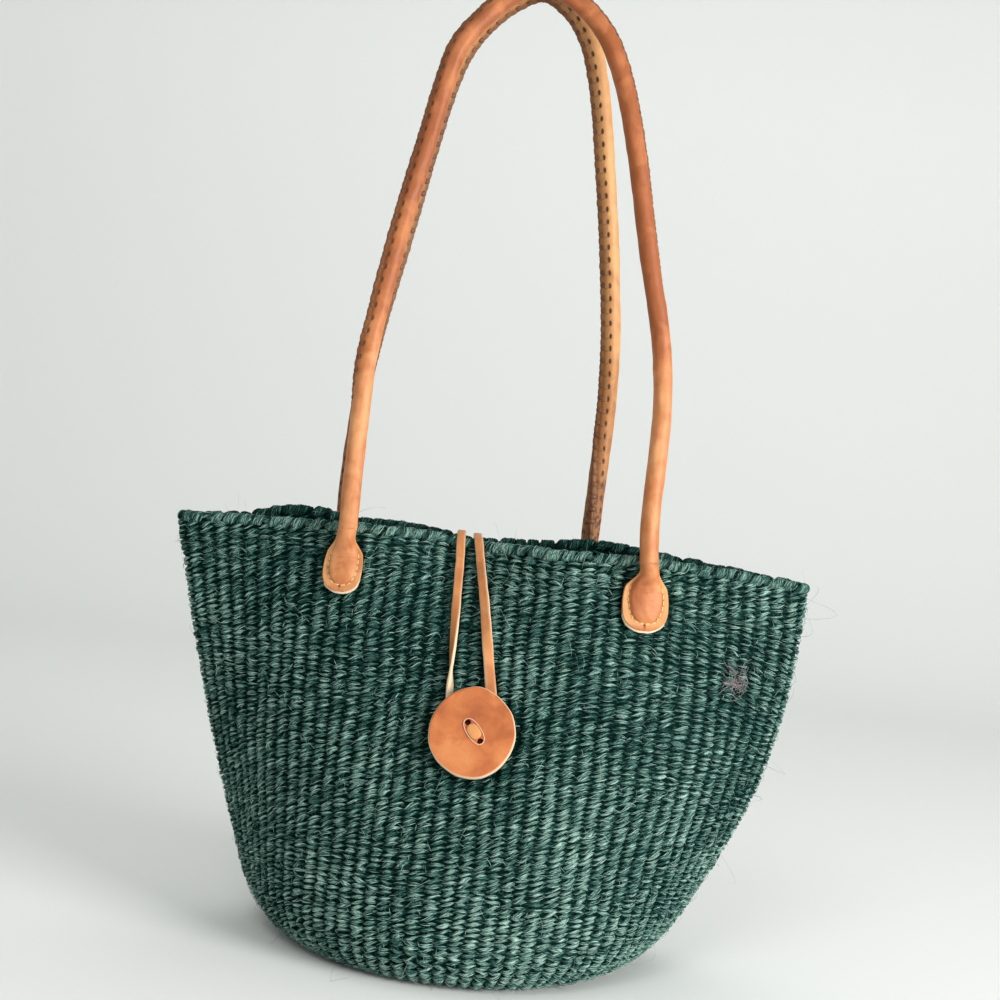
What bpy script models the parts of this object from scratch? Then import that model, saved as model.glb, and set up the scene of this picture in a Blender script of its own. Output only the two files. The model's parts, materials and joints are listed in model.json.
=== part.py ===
"""Kiondo basket: a soft woven sisal basket with two leather shoulder handles and a
leather button that a thong loop closes on.

Metres, +Z up. The basket stands on its flat base, with the origin under the middle of
the mouth. +X is to the right and -Y is the front, where the button is.
"""

import math

import bmesh
import bpy
import numpy as np
from mathutils import Matrix, Vector

# Gap kept between pieces that touch on the real basket
SEAT_GAP = 0.0003

# Woven body, measured on its outside
MOUTH_HALF_LENGTH = 0.188
MOUTH_HALF_DEPTH = 0.034
MOUTH_FOLD_RADIUS = 0.008
PINCH_HALF_DEPTH = 0.0095
PINCH_REACH = 0.042
BASE_RADIUS = 0.116
BASE_ROUNDING = 0.038
WALL_HEIGHT = 0.239
RIM_SAG = 0.0092
LEFT_SWELL = 0.004
RIGHT_SWELL = 0.020
WALL = 0.0045
BRAID_RADIUS = 0.0045
BODY_COLUMNS = 72
BODY_WALL_ROWS = 10
BODY_CORNER_ROWS = 4

# Waves of the wall's top, which isn't level: their middle, reach and height
FRONT_TOP_WAVES = ((0.014, 0.062, -0.0048),)
BACK_TOP_WAVES = ((-0.120, 0.025, 0.0058), (0.063, 0.028, 0.0026))

# Handles: a rope in a leather tube whose seam stands up as a low fin. Their hinge line
# lies just above the middle of the wall's top
HINGE_RISE = 0.0023
HINGE_HEIGHT = WALL_HEIGHT + HINGE_RISE
APEX_HEIGHT = 0.568
HANDLE_RADIUS = 0.0055
SEAM_FIN = 0.0016
SEAM_FIN_WIDTH = 0.0032
HANDLE_LEATHER = 0.0016
END_HOLE_RADIUS = 0.0028
HANDLE_CROSSING_GAP = 0.0005
HANDLE_STEPS = 36

# Leather paddles at the handle ends
RIGHT_TAB_WIDTH = 0.0275
RIGHT_TAB_LENGTH = 0.0325
LEFT_TAB_WIDTH = 0.0225
LEFT_TAB_LENGTH = 0.030
BACK_TAB_WIDTH = 0.0255
BACK_TAB_LENGTH = 0.0315
TAB_LEATHER = 0.0018
TAB_PAD_HEIGHT = 0.0062
BACKING_LEATHER = 0.0013
BACKING_MARGIN = 0.0008
PATCH_LEATHER = 0.0014
PATCH_MARGIN = 0.0015
CURVED_SEAT = 0.0003

# Button and its lace
BUTTON_HEIGHT = 0.1354
BUTTON_CENTRE = 0.0
BUTTON_RADIUS = 0.0257
BUTTON_THICKNESS = 0.0031
BUTTON_EDGE_ROUNDING = 0.0005
BUTTON_STANDOFF = 0.0052
HOLE_SPACING = 0.0130
HOLE_RADIUS = 0.0016
HOLE_LINE_ANGLE = math.radians(-56.0)
LACE_RADIUS = 0.0010
LACE_STEM_RADIUS = 0.0017
LACE_KNOT_RADIUS = 0.0036
STEM_HOLE_CLEARANCE = 0.0004
WASHER_RADIUS = 0.0105
WASHER_LEATHER = 0.0016

# Thong loop
THONG_WIDTH = 0.0050
THONG_THICKNESS = 0.0018
LOOP_RIM_CENTRE = -0.0155
LOOP_RIM_HALF_SPACING = 0.0048
LOOP_LIFT = 0.0009
LOOP_LOW_CENTRE = -0.0015
LOOP_LOW_HALF_SPACING = 0.0130
LOOP_TURN_HEIGHT = 0.1285
LOOP_TURN_RADIUS = 0.0100
ANCHOR_DROP = 0.017
ANCHOR_KNOT_RADIUS = 0.0036
SLOT_CLEARANCE = 0.0005

# One length by which a cutter passes the faces that it cuts
CUT_OVERRUN = 0.004

# Handle outlines: share of the height from hinge to apex, then the left leg's x and the
# right leg's
FRONT_HANDLE_OUTLINE = (
    (0.0, -0.0850, 0.0893), (0.08, -0.0855, 0.0873), (0.22, -0.0857, 0.0874),
    (0.30, -0.0853, 0.0862), (0.40, -0.0816, 0.0812), (0.50, -0.0769, 0.0727),
    (0.60, -0.0715, 0.0646), (0.70, -0.0654, 0.0570), (0.80, -0.0596, 0.0480),
    (0.87, -0.0540, 0.0395), (0.924, -0.0425, 0.0298), (0.972, -0.0275, 0.0135),
    (1.0, -0.0085, -0.0085),
)
BACK_HANDLE_OUTLINE = (
    (0.0, -0.0935, 0.0575), (0.10, -0.0934, 0.0577), (0.23, -0.0913, 0.0582),
    (0.30, -0.0895, 0.0578), (0.40, -0.0852, 0.0556), (0.50, -0.0790, 0.0512),
    (0.60, -0.0730, 0.0461), (0.70, -0.0672, 0.0402), (0.80, -0.0605, 0.0340),
    (0.87, -0.0535, 0.0283), (0.924, -0.0430, 0.0215), (0.972, -0.0275, 0.0095),
    (1.0, -0.0085, -0.0085),
)

# Paddle: share of the length from its cut end, then shares of half the width for the
# outline and the padded ridge, and the share of the pad's height
PADDLE_SHARES = (
    (0.0, 0.46, 0.20, 0.0), (0.035, 0.74, 0.36, 0.04), (0.10, 0.92, 0.52, 0.30),
    (0.22, 1.0, 0.62, 0.46), (0.42, 0.98, 0.60, 0.52), (0.62, 0.90, 0.52, 0.66),
    (0.80, 0.76, 0.44, 0.86), (0.92, 0.58, 0.40, 0.96), (1.0, 0.44, 0.38, 0.70),
)

# Lace on the button: shares of the way from the middle to a hole, behind the button where
# it parts, and on its face at the end and at the widest place of the eye
LACE_PART_SHARE = 0.6
EYE_END_SHARE = 0.85
EYE_WIDE_SHARE = 0.4

# Powers that shape the body and the handles: how sharply the mouth narrows to its ends,
# how far round the swell reaches, how fast the pinch fades downwards, how close to the
# ends of the mouth the waves of its top reach and how the handles lean together
LENS_POWER = 1.5
SWELL_POWER = 3
PINCH_FADE_POWER = 3
WAVE_FADE_POWER = 8
LEAN_POWER = 1.15

# Shares of the radius at which the leather is gathered into a handle's round end
GATHER_SHARES = (0.82, 0.55, 0.28)

# The seam fin: width of its foot as a multiple of its own, half its tip as a share
FIN_FOOT_SHARE = 1.6
FIN_TIP_SHARE = 1 / 3

# Roundness of a paddle's pad: below 1 it is fuller than a half circle
PAD_POWER = 0.8

# Thong: how its strands spread down the wall, and how fast they settle onto it
STRAND_SPREAD_POWER = 0.9
STRAND_SETTLE_POWER = 6
TAIL_ABOVE_SLOT_SHARE = 1.5
TAIL_CORNER_SHARE = 0.3

FRONT = -1
BACK = 1


def start_scene():
    """Removes what the scene holds and makes the collections for parts and guides."""
    for obj in list(bpy.data.objects):
        bpy.data.objects.remove(obj, do_unlink=True)
    made = []
    for name in ("kiondo_basket", "guides"):
        collection = bpy.data.collections.new(name)
        bpy.context.scene.collection.children.link(collection)
        made.append(collection)
    return made


def make_material(name, colour, roughness):
    """One Principled material, not metallic."""
    material = bpy.data.materials.new(name)
    material.use_nodes = True
    shader = material.node_tree.nodes["Principled BSDF"]
    shader.inputs["Base Color"].default_value = (*colour, 1.0)
    shader.inputs["Roughness"].default_value = roughness
    shader.inputs["Metallic"].default_value = 0.0
    return material


def add_object(name, data, collection, material=None):
    """Links a new object, with its material, into a collection."""
    obj = bpy.data.objects.new(name, data)
    collection.objects.link(obj)
    if material:
        obj.data.materials.append(material)
    return obj


def mesh_object(name, bm, collection, material=None, smooth_angle=40.0):
    """Turns a bmesh into an object with outward faces, shaded smooth but for sharp edges."""
    bmesh.ops.recalc_face_normals(bm, faces=bm.faces)
    mesh = bpy.data.meshes.new(name)
    bm.to_mesh(mesh)
    bm.free()
    mesh.shade_smooth()
    mesh.set_sharp_from_angle(angle=math.radians(smooth_angle))
    return add_object(name, mesh, collection, material)


def as_guide(obj):
    """Marks an object that only shapes others."""
    obj.hide_render = True
    obj.display_type = "WIRE"
    return obj


def place(obj, matrix):
    """Places an object by its location and rotation."""
    obj.location = matrix.to_translation()
    obj.rotation_euler = matrix.to_euler()


def add_boolean(obj, cutter, operation="DIFFERENCE"):
    """Adds an exact Boolean."""
    modifier = obj.modifiers.new(f"{operation.lower()}_{cutter.name}", "BOOLEAN")
    modifier.operation = operation
    modifier.solver = "EXACT"
    modifier.object = cutter


def add_thickness(obj, thickness, offset):
    """Adds a Solidify; an offset of -1 grows inwards and 0 both ways."""
    modifier = obj.modifiers.new("leather", "SOLIDIFY")
    modifier.thickness = thickness
    modifier.offset = offset


def smooth_route(points, count):
    """Points at even steps on a Catmull-Rom curve through the given points."""
    given = np.array([tuple(p) for p in points], dtype=float)
    padded = np.vstack([2 * given[0] - given[1], given, 2 * given[-1] - given[-2]])
    dense = []
    samples = 24
    for i in range(len(given) - 1):
        a, b, c, d = padded[i:i + 4]
        for k in range(samples):
            t = k / samples
            dense.append(0.5 * (2 * b + (c - a) * t + (2 * a - 5 * b + 4 * c - d) * t ** 2
                                + (3 * b - a - 3 * c + d) * t ** 3))
    dense.append(given[-1])
    dense = np.array(dense)
    steps = np.linalg.norm(np.diff(dense, axis=0), axis=1)
    length = np.concatenate([[0.0], np.cumsum(steps)])
    wanted = np.linspace(0.0, length[-1], count)
    return [Vector(np.interp(s, length, dense[:, k]) for k in range(3)) for s in wanted]


def poly_curve(name, points, radii=None, cyclic=False):
    """A POLY curve through points, with an optional radius factor at each."""
    curve = bpy.data.curves.new(name, "CURVE")
    curve.dimensions = "3D"
    curve.twist_mode = "Z_UP"
    spline = curve.splines.new("POLY")
    spline.points.add(len(points) - 1)
    for i, point in enumerate(points):
        spline.points[i].co = (*point, 1.0)
        spline.points[i].radius = radii[i] if radii else 1.0
    spline.use_cyclic_u = cyclic
    spline.use_smooth = True
    return curve


# The woven body's surface

def mouth_half_depth(x):
    """Half the mouth's depth at x with the pinch left out: two walls folded together at
    the ends and a lens between them."""
    fold = MOUTH_FOLD_RADIUS
    straight = MOUTH_HALF_LENGTH - fold
    beyond = max(0.0, abs(x) - straight)
    end = math.sqrt(max(0.0, fold ** 2 - beyond ** 2))
    lens_share = max(0.0, 1 - (x / straight) ** 2) ** LENS_POWER
    return end + (MOUTH_HALF_DEPTH - fold) * lens_share


def pinch_depth(x):
    """How far the thong loop draws each wall in at the top."""
    reach = (x - LOOP_RIM_CENTRE) / PINCH_REACH
    return (MOUTH_HALF_DEPTH - PINCH_HALF_DEPTH) * math.exp(-reach ** 2)


def mouth_outline():
    """A dense table of the mouth, from +X over the back to -X and home by the front, with
    the share of its length at each point."""
    half = 900
    xs = [MOUTH_HALF_LENGTH * math.cos(math.pi * i / half) for i in range(half + 1)]
    back = [(x, mouth_half_depth(x) - pinch_depth(x)) for x in xs]
    front = [(x, -y) for x, y in reversed(back)]
    table = np.array(back + front[1:])
    steps = np.linalg.norm(np.diff(table, axis=0), axis=1)
    share = np.concatenate([[0.0], np.cumsum(steps)])
    return table, share / share[-1]


MOUTH_TABLE, MOUTH_SHARE = mouth_outline()


def top_height(x, side):
    """Height of the front or back wall's top, which sags towards the two ends."""
    share = abs(x) / MOUTH_HALF_LENGTH
    waves = BACK_TOP_WAVES if side == BACK else FRONT_TOP_WAVES
    wave = sum(height * math.exp(-((x - middle) / reach) ** 2)
               for middle, reach, height in waves)
    return WALL_HEIGHT - RIM_SAG * share ** 2 + wave * max(0.0, 1 - share ** WAVE_FADE_POWER)


def wall_point(turn, rise):
    """Point of the outside at a share of the way round and a share of the height, as if
    the wall met the floor in a sharp edge."""
    mouth_x = float(np.interp(turn % 1.0, MOUTH_SHARE, MOUTH_TABLE[:, 0]))
    mouth_y = float(np.interp(turn % 1.0, MOUTH_SHARE, MOUTH_TABLE[:, 1]))
    angle = 2 * math.pi * turn
    side = BACK if mouth_y >= 0 else FRONT
    pinch = pinch_depth(mouth_x) * side
    swell = RIGHT_SWELL if math.cos(angle) > 0 else -LEFT_SWELL
    swell *= math.sin(math.pi * rise) * abs(math.cos(angle)) ** SWELL_POWER
    x = BASE_RADIUS * math.cos(angle) * (1 - rise) + mouth_x * rise + swell
    y = BASE_RADIUS * math.sin(angle) * (1 - rise) + (mouth_y + pinch) * rise
    y -= pinch * rise ** PINCH_FADE_POWER
    return Vector((x, y, top_height(mouth_x, side) * rise))


def wall_spot(x, height, side):
    """The outside point of the front or back wall at x and a height, with its frame: X
    along the wall, Y up the wall and Z out of it."""
    low, high = (0.0, 0.5) if side == BACK else (0.5, 1.0)
    for _ in range(40):
        turn = (low + high) / 2
        mouth_x = float(np.interp(turn, MOUTH_SHARE, MOUTH_TABLE[:, 0]))
        rise = height / top_height(mouth_x, side)
        too_far_right = wall_point(turn, rise).x > x
        if too_far_right == (side == BACK):
            low = turn
        else:
            high = turn
    step_share = 0.004
    across = wall_point(turn + step_share, rise) - wall_point(turn - step_share, rise)
    upward = wall_point(turn, rise + step_share) - wall_point(turn, rise - step_share)
    outward = across.cross(upward).normalized()
    up = (Vector((0, 0, 1)) - outward.z * outward).normalized()
    right = up.cross(outward)
    turned = Matrix((right, up, outward)).transposed().to_4x4()
    return Matrix.Translation(wall_point(turn, rise)) @ turned


def wall_bow(frame, side, half_width, low, high):
    """How far the wall falls behind, and stands out from, a flat rectangle that touches
    it: half its width, and its lowest and highest place up the frame."""
    heights = []
    for x in (-half_width, 0.0, half_width):
        for y in (low, (low + high) / 2, high):
            flat = frame @ Vector((x, y, 0.0))
            wall = wall_spot(flat.x, flat.z, side).to_translation()
            heights.append((frame.inverted() @ wall).z)
    return max(0.0, -min(heights)), max(0.0, max(heights))


def body_rows():
    """Rings of points from the middle of the base up to the top of the wall."""
    turns = [i / BODY_COLUMNS for i in range(BODY_COLUMNS)]
    corner_rise = BASE_ROUNDING / WALL_HEIGHT
    flat = BASE_RADIUS - BASE_ROUNDING
    rings = []
    for share in (0.5, 1.0):
        rings.append([Vector((flat * share * math.cos(2 * math.pi * t),
                              flat * share * math.sin(2 * math.pi * t), 0.0)) for t in turns])
    for k in range(1, BODY_CORNER_ROWS + 1):
        s = k / BODY_CORNER_ROWS
        ring = []
        for i, t in enumerate(turns):
            edge = wall_point(t, 0.0)
            above = wall_point(t, corner_rise)
            inner = rings[1][i]
            ring.append(inner * (1 - s) ** 2 + edge * 2 * s * (1 - s) + above * s ** 2)
        rings.append(ring)
    for k in range(1, BODY_WALL_ROWS + 1):
        rise = corner_rise + (1 - corner_rise) * k / BODY_WALL_ROWS
        rings.append([wall_point(t, rise) for t in turns])
    return rings


def make_woven_basket(parts, guides, sisal):
    """The wall and base: the outside surface, thickened inwards, with the slots that the
    thong's tails and the button's lace pass through."""
    bm = bmesh.new()
    rings = [[bm.verts.new(p) for p in ring] for ring in body_rows()]
    centre = bm.verts.new((0.0, 0.0, 0.0))
    count = BODY_COLUMNS
    for i in range(count):
        bm.faces.new((centre, rings[0][(i + 1) % count], rings[0][i]))
        for low, high in zip(rings, rings[1:]):
            bm.faces.new((low[i], low[(i + 1) % count], high[(i + 1) % count], high[i]))
    basket = mesh_object("woven_basket", bm, parts, sisal, smooth_angle=60.0)
    add_thickness(basket, WALL, -1.0)
    for cutter in anchor_slot_cutters(guides) + [stem_hole_cutter(guides)]:
        add_boolean(basket, cutter)
    return basket


def rim_centre(x, side):
    """Centre of the rim braid at x: over the middle of the wall."""
    y = mouth_half_depth(x) - pinch_depth(x) - WALL / 2
    return Vector((x, side * y, top_height(x, side) + SEAT_GAP + BRAID_RADIUS))


def make_rim_braid(parts, sisal):
    """The rolled edge: a round tube on top of the wall, all the way round the mouth. Where
    the wall leans out, its inner edge is the higher one, and the braid lies on that."""
    points = []
    for i in range(BODY_COLUMNS):
        turn = i / BODY_COLUMNS
        step_share = 0.002
        here = wall_point(turn, 1.0)
        along = wall_point(turn + step_share, 1.0) - wall_point(turn - step_share, 1.0)
        outward = along.cross(Vector((0, 0, 1))).normalized()
        facing = along.cross(here - wall_point(turn, 1.0 - step_share)).normalized()
        inner_edge = WALL * max(0.0, -facing.z)
        lift = Vector((0, 0, inner_edge + SEAT_GAP + BRAID_RADIUS))
        points.append(here - outward * WALL / 2 + lift)
    curve = poly_curve("rim_braid", points, cyclic=True)
    curve.bevel_depth = BRAID_RADIUS
    curve.bevel_resolution = 2
    return add_object("rim_braid", curve, parts, sisal)


# Handles

def handle_outline(side):
    """Outline of one handle as seen from the front."""
    return FRONT_HANDLE_OUTLINE if side == FRONT else BACK_HANDLE_OUTLINE


def handle_sides(side):
    """Half spacing and centre of one handle's legs, at the hinge line."""
    _, left, right = handle_outline(side)[0]
    return (right - left) / 2, (right + left) / 2


def hinge_depth(side):
    """Distance of a handle's hinge line from the middle plane: its tube clears the rim
    braid by a seat gap, at the leg where the rim stands out most."""
    half, centre = handle_sides(side)
    fin = SEAM_FIN_WIDTH / 2
    reach = max(abs(rim_centre(centre + half * leg + fin * edge, side).y)
                for leg in (-1, 1) for edge in (-1, 0, 1))
    return reach + BRAID_RADIUS + SEAT_GAP + SEAM_FIN + HANDLE_RADIUS


def handle_route(side):
    """Centre line of one handle, from the left hinge over the apex to the right hinge."""
    low_depth = hinge_depth(side)
    top_depth = HANDLE_RADIUS + SEAM_FIN + HANDLE_CROSSING_GAP
    height = APEX_HEIGHT - HINGE_HEIGHT
    left = []
    right = []
    for rise_share, left_x, right_x in handle_outline(side):
        lean = rise_share ** LEAN_POWER
        depth = side * (low_depth + (top_depth - low_depth) * lean)
        z = HINGE_HEIGHT + height * rise_share
        left.append((left_x, depth, z))
        right.append((right_x, depth, z))
    return left + right[-2::-1]


def rounded_ends(points, radius, hole_radius):
    """Adds to a route the short length past each hinge where the leather is gathered in
    to a round end, and gives the radius factor at each point."""
    drop = math.sqrt(radius ** 2 - hole_radius ** 2)
    first = (points[0] - points[1]).normalized()
    last = (points[-1] - points[-2]).normalized()
    depths = [drop] + [drop * share for share in GATHER_SHARES]
    start = [points[0] + first * d for d in depths]
    end = [points[-1] + last * d for d in depths]
    factors = [math.sqrt(1 - (d / radius) ** 2) for d in depths]
    route = start + points + end[::-1]
    return route, factors + [1.0] * len(points) + factors[::-1]


def handle_profile(guides):
    """Section of the leather tube: a circle with the pinched seam as a low fin."""
    curve = bpy.data.curves.new("handle_profile", "CURVE")
    curve.dimensions = "2D"
    curve.fill_mode = "NONE"
    spline = curve.splines.new("POLY")
    foot = math.asin(SEAM_FIN_WIDTH / 2 / HANDLE_RADIUS) * FIN_FOOT_SHARE
    arc = 11
    points = []
    for i in range(arc):
        angle = foot + (2 * math.pi - 2 * foot) * i / (arc - 1)
        points.append((HANDLE_RADIUS * math.cos(angle), HANDLE_RADIUS * math.sin(angle)))
    tip = HANDLE_RADIUS + SEAM_FIN
    points.append((tip, -SEAM_FIN_WIDTH * FIN_TIP_SHARE))
    points.append((tip, SEAM_FIN_WIDTH * FIN_TIP_SHARE))
    spline.points.add(len(points) - 1)
    for i, (x, y) in enumerate(reversed(points)):
        spline.points[i].co = (x, y, 0.0, 1.0)
    spline.use_cyclic_u = True
    return as_guide(add_object("handle_profile", curve, guides))


def make_handle(side, name, profile, parts, leather, rope):
    """One handle: the leather cover and the rope core, under an empty on the hinge line."""
    empty = bpy.data.objects.new(name, None)
    parts.objects.link(empty)
    _, centre = handle_sides(side)
    hinge = Vector((centre, side * hinge_depth(side), HINGE_HEIGHT))
    empty.location = hinge
    standing = Matrix.Rotation(math.pi / 2, 3, "X")
    route = [standing.inverted() @ (p - hinge)
             for p in smooth_route(handle_route(side), HANDLE_STEPS)]

    ends, factors = rounded_ends(route, HANDLE_RADIUS, END_HOLE_RADIUS)
    cover_curve = poly_curve(f"{name}_cover", ends, factors)
    cover_curve.bevel_mode = "OBJECT"
    cover_curve.bevel_object = profile
    for point in cover_curve.splines[0].points:
        point.tilt = -math.pi / 2 * side
    cover = add_object(f"{name}_cover", cover_curve, parts, leather)
    cover.parent = empty
    cover.rotation_euler = standing.to_euler()
    add_thickness(cover, HANDLE_LEATHER, -1.0)

    core_curve = poly_curve(f"{name}_core", route[1:-1])
    core_curve.bevel_depth = HANDLE_RADIUS - HANDLE_LEATHER - SEAT_GAP
    core_curve.bevel_resolution = 2
    core_curve.use_fill_caps = True
    core = add_object(f"{name}_core", core_curve, parts, rope)
    core.parent = empty
    core.rotation_euler = standing.to_euler()


# Paddles at the handle ends

def paddle_layers(width, length, margin, levels):
    """Rings of a paddle's sections. Each section runs from the left edge over the top to
    the right edge; levels gives the plate's underside, top and the pad's height."""
    bottom, top, pad = levels
    ridge_steps = 6
    sections = []
    for along, outline, ridge, swell in PADDLE_SHARES:
        y = -HANDLE_RADIUS - SEAT_GAP + margin - (length + 2 * margin) * (1 - along)
        half = width / 2 * outline + margin
        ridge_half = width / 2 * ridge
        section = [(-half, y, bottom), (-half, y, top)]
        for i in range(ridge_steps + 1):
            angle = math.pi * i / ridge_steps
            lift = pad * swell * math.sin(angle) ** PAD_POWER
            section.append((-ridge_half * math.cos(angle), y, top + lift))
        section += [(half, y, top), (half, y, bottom)]
        sections.append(section)
    return sections


def loft(sections):
    """A closed solid from equal sections, with flat ends."""
    bm = bmesh.new()
    rings = [[bm.verts.new(p) for p in section] for section in sections]
    count = len(rings[0])
    for low, high in zip(rings, rings[1:]):
        for i in range(count):
            j = (i + 1) % count
            bm.faces.new((low[i], low[j], high[j], high[i]))
    bm.faces.new(rings[0][::-1])
    bm.faces.new(rings[-1])
    return bm


def flat_leather(name, width, length, margin, thickness, collection, material):
    """A flat layer with the paddle's outline, grown by a margin, as a filled curve."""
    outline = []
    for along, half_share, _, _ in PADDLE_SHARES:
        y = -HANDLE_RADIUS - SEAT_GAP - length * (1 - along)
        y += margin * (2 * along - 1)
        outline.append((width / 2 * half_share + margin, y))
    points = outline + [(-x, y) for x, y in reversed(outline)]
    curve = bpy.data.curves.new(name, "CURVE")
    curve.dimensions = "2D"
    curve.fill_mode = "BOTH"
    curve.extrude = thickness / 2
    spline = curve.splines.new("POLY")
    spline.points.add(len(points) - 1)
    for i, (x, y) in enumerate(points):
        spline.points[i].co = (x, y, 0.0, 1.0)
    spline.use_cyclic_u = True
    return add_object(name, curve, collection, material)


def make_tab(side, leg, width, length, parts, leather, raw_leather):
    """The paddle, its under layer and the patch inside the wall, for one handle end."""
    half, centre = handle_sides(side)
    x = centre + half * leg
    tag = ("front" if side == FRONT else "back") + ("_right" if leg > 0 else "_left")
    spot = wall_spot(x, HINGE_HEIGHT - HANDLE_RADIUS - length / 2, side)
    hinge = spot.inverted() @ Vector((x, side * hinge_depth(side), HINGE_HEIGHT))
    upward = spot @ Matrix.Translation((0, hinge.y, 0))

    bow_in, bow_out = wall_bow(upward, side, width / 2 + PATCH_MARGIN,
                               -HANDLE_RADIUS - length, -HANDLE_RADIUS)
    backing_low = SEAT_GAP + CURVED_SEAT + bow_out
    backing = flat_leather(f"tab_backing_{tag}", width, length, BACKING_MARGIN,
                           BACKING_LEATHER, parts, raw_leather)
    place(backing, upward @ Matrix.Translation((0, 0, backing_low + BACKING_LEATHER / 2)))

    tab_low = backing_low + BACKING_LEATHER + SEAT_GAP
    sections = paddle_layers(width, length, 0.0, (0.0, TAB_LEATHER, TAB_PAD_HEIGHT))
    tab = mesh_object(f"handle_tab_{tag}", loft(sections), parts, leather)
    place(tab, upward @ Matrix.Translation((0, 0, tab_low)))

    patch = flat_leather(f"inner_patch_{tag}", width, length, PATCH_MARGIN,
                         PATCH_LEATHER, parts, raw_leather)
    inside = -(WALL + SEAT_GAP + CURVED_SEAT + bow_in + PATCH_LEATHER / 2)
    place(patch, upward @ Matrix.Translation((0, 0, inside)))


# Button

def button_spot():
    """Frame of the wall behind the button."""
    return wall_spot(BUTTON_CENTRE, BUTTON_HEIGHT, FRONT)


def cylinder(name, radius, low, high, sides, collection, material=None, turn=None):
    """A closed cylinder along Z between two heights, placed by an optional frame."""
    bm = bmesh.new()
    middle = Matrix.Translation((0, 0, (low + high) / 2))
    bmesh.ops.create_cone(bm, cap_ends=True, segments=sides, radius1=radius,
                          radius2=radius, depth=high - low, matrix=middle)
    obj = mesh_object(name, bm, collection, material)
    if turn:
        place(obj, turn)
    return obj


def hole_positions():
    """The two lace holes, in the button's own plane."""
    along = Vector((math.cos(HOLE_LINE_ANGLE), math.sin(HOLE_LINE_ANGLE), 0.0))
    return [along * HOLE_SPACING / 2 * sign for sign in (-1, 1)]


def washer_top():
    """Height of the washer's outer face in the button's frame, inside the wall."""
    bow_in, _ = wall_bow(button_spot(), FRONT, WASHER_RADIUS, -WASHER_RADIUS, WASHER_RADIUS)
    return -(WALL + SEAT_GAP + CURVED_SEAT + bow_in)


def stem_hole_cutter(guides):
    """Cuts the wall where the button's lace passes."""
    return as_guide(cylinder("stem_hole", LACE_STEM_RADIUS + STEM_HOLE_CLEARANCE,
                             washer_top() - CUT_OVERRUN, CUT_OVERRUN, 12, guides,
                             turn=button_spot()))


def make_button(parts, guides, leather, raw_leather):
    """The disc, its lace and the washer inside the wall."""
    spot = button_spot()
    disc = cylinder("button_disc", BUTTON_RADIUS, BUTTON_STANDOFF,
                    BUTTON_STANDOFF + BUTTON_THICKNESS, 40, parts, leather, turn=spot)
    bevel = disc.modifiers.new("edge", "BEVEL")
    bevel.width = BUTTON_EDGE_ROUNDING
    bevel.segments = 1
    bevel.limit_method = "ANGLE"
    for i, hole in enumerate(hole_positions()):
        cutter = cylinder(f"lace_hole_{i + 1}", HOLE_RADIUS, BUTTON_STANDOFF - CUT_OVERRUN,
                          BUTTON_STANDOFF + BUTTON_THICKNESS + CUT_OVERRUN, 10, guides,
                          turn=spot @ Matrix.Translation(hole))
        add_boolean(disc, as_guide(cutter))

    make_lace(spot, parts, guides, raw_leather)

    washer = cylinder("button_washer", WASHER_RADIUS, washer_top() - WASHER_LEATHER,
                      washer_top(), 20, parts, raw_leather, turn=spot)
    add_boolean(washer, bpy.data.objects["stem_hole"])


def make_lace(spot, parts, guides, leather):
    """The lace: a stem through the wall that parts behind the button, goes up through
    both holes and meets in a flat eye on its face, with a knot inside."""
    first, second = hole_positions()
    back = BUTTON_STANDOFF - LACE_RADIUS - SEAT_GAP
    face = BUTTON_STANDOFF + BUTTON_THICKNESS
    front = face + LACE_RADIUS + SEAT_GAP
    up = Vector((0, 0, 1))
    half_turns = []
    for hole in (first, second):
        half_turns.append([hole * LACE_PART_SHARE + up * back, hole + up * (back + LACE_RADIUS),
                           hole + up * face, hole * EYE_END_SHARE + up * front,
                           hole * EYE_WIDE_SHARE + up * front])
    loop = [up * back] + half_turns[0] + half_turns[1][::-1]
    curve = poly_curve("lace_loop", loop, cyclic=True)
    curve.bevel_depth = LACE_RADIUS
    curve.bevel_resolution = 2
    guide = add_object("lace_loop", curve, guides)
    bpy.context.view_layer.update()
    mesh = bpy.data.meshes.new_from_object(guide.evaluated_get(
        bpy.context.evaluated_depsgraph_get()))
    bpy.data.objects.remove(guide, do_unlink=True)
    lace = add_object("button_lace", mesh, parts, leather)
    place(lace, spot)

    knot_height = washer_top() - WASHER_LEATHER - SEAT_GAP - LACE_KNOT_RADIUS
    stem = cylinder("lace_stem", LACE_STEM_RADIUS, knot_height, back, 10, guides, turn=spot)
    add_boolean(lace, as_guide(stem), "UNION")
    bm = bmesh.new()
    bmesh.ops.create_uvsphere(bm, u_segments=12, v_segments=8, radius=LACE_KNOT_RADIUS,
                              matrix=Matrix.Translation((0, 0, knot_height)))
    knot = mesh_object("lace_knot", bm, guides)
    place(knot, spot)
    add_boolean(lace, as_guide(knot), "UNION")


# Thong loop

def rim_wrap(x, side, angles, lift):
    """Points over the rim braid at x, with their outward directions. An angle of zero is
    the top, and it grows down the outside."""
    centre = rim_centre(x, side)
    wrapped = []
    for angle in angles:
        outward = Vector((0, side * math.sin(angle), math.cos(angle)))
        wrapped.append((centre + outward * (BRAID_RADIUS + lift), outward))
    return wrapped


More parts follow.
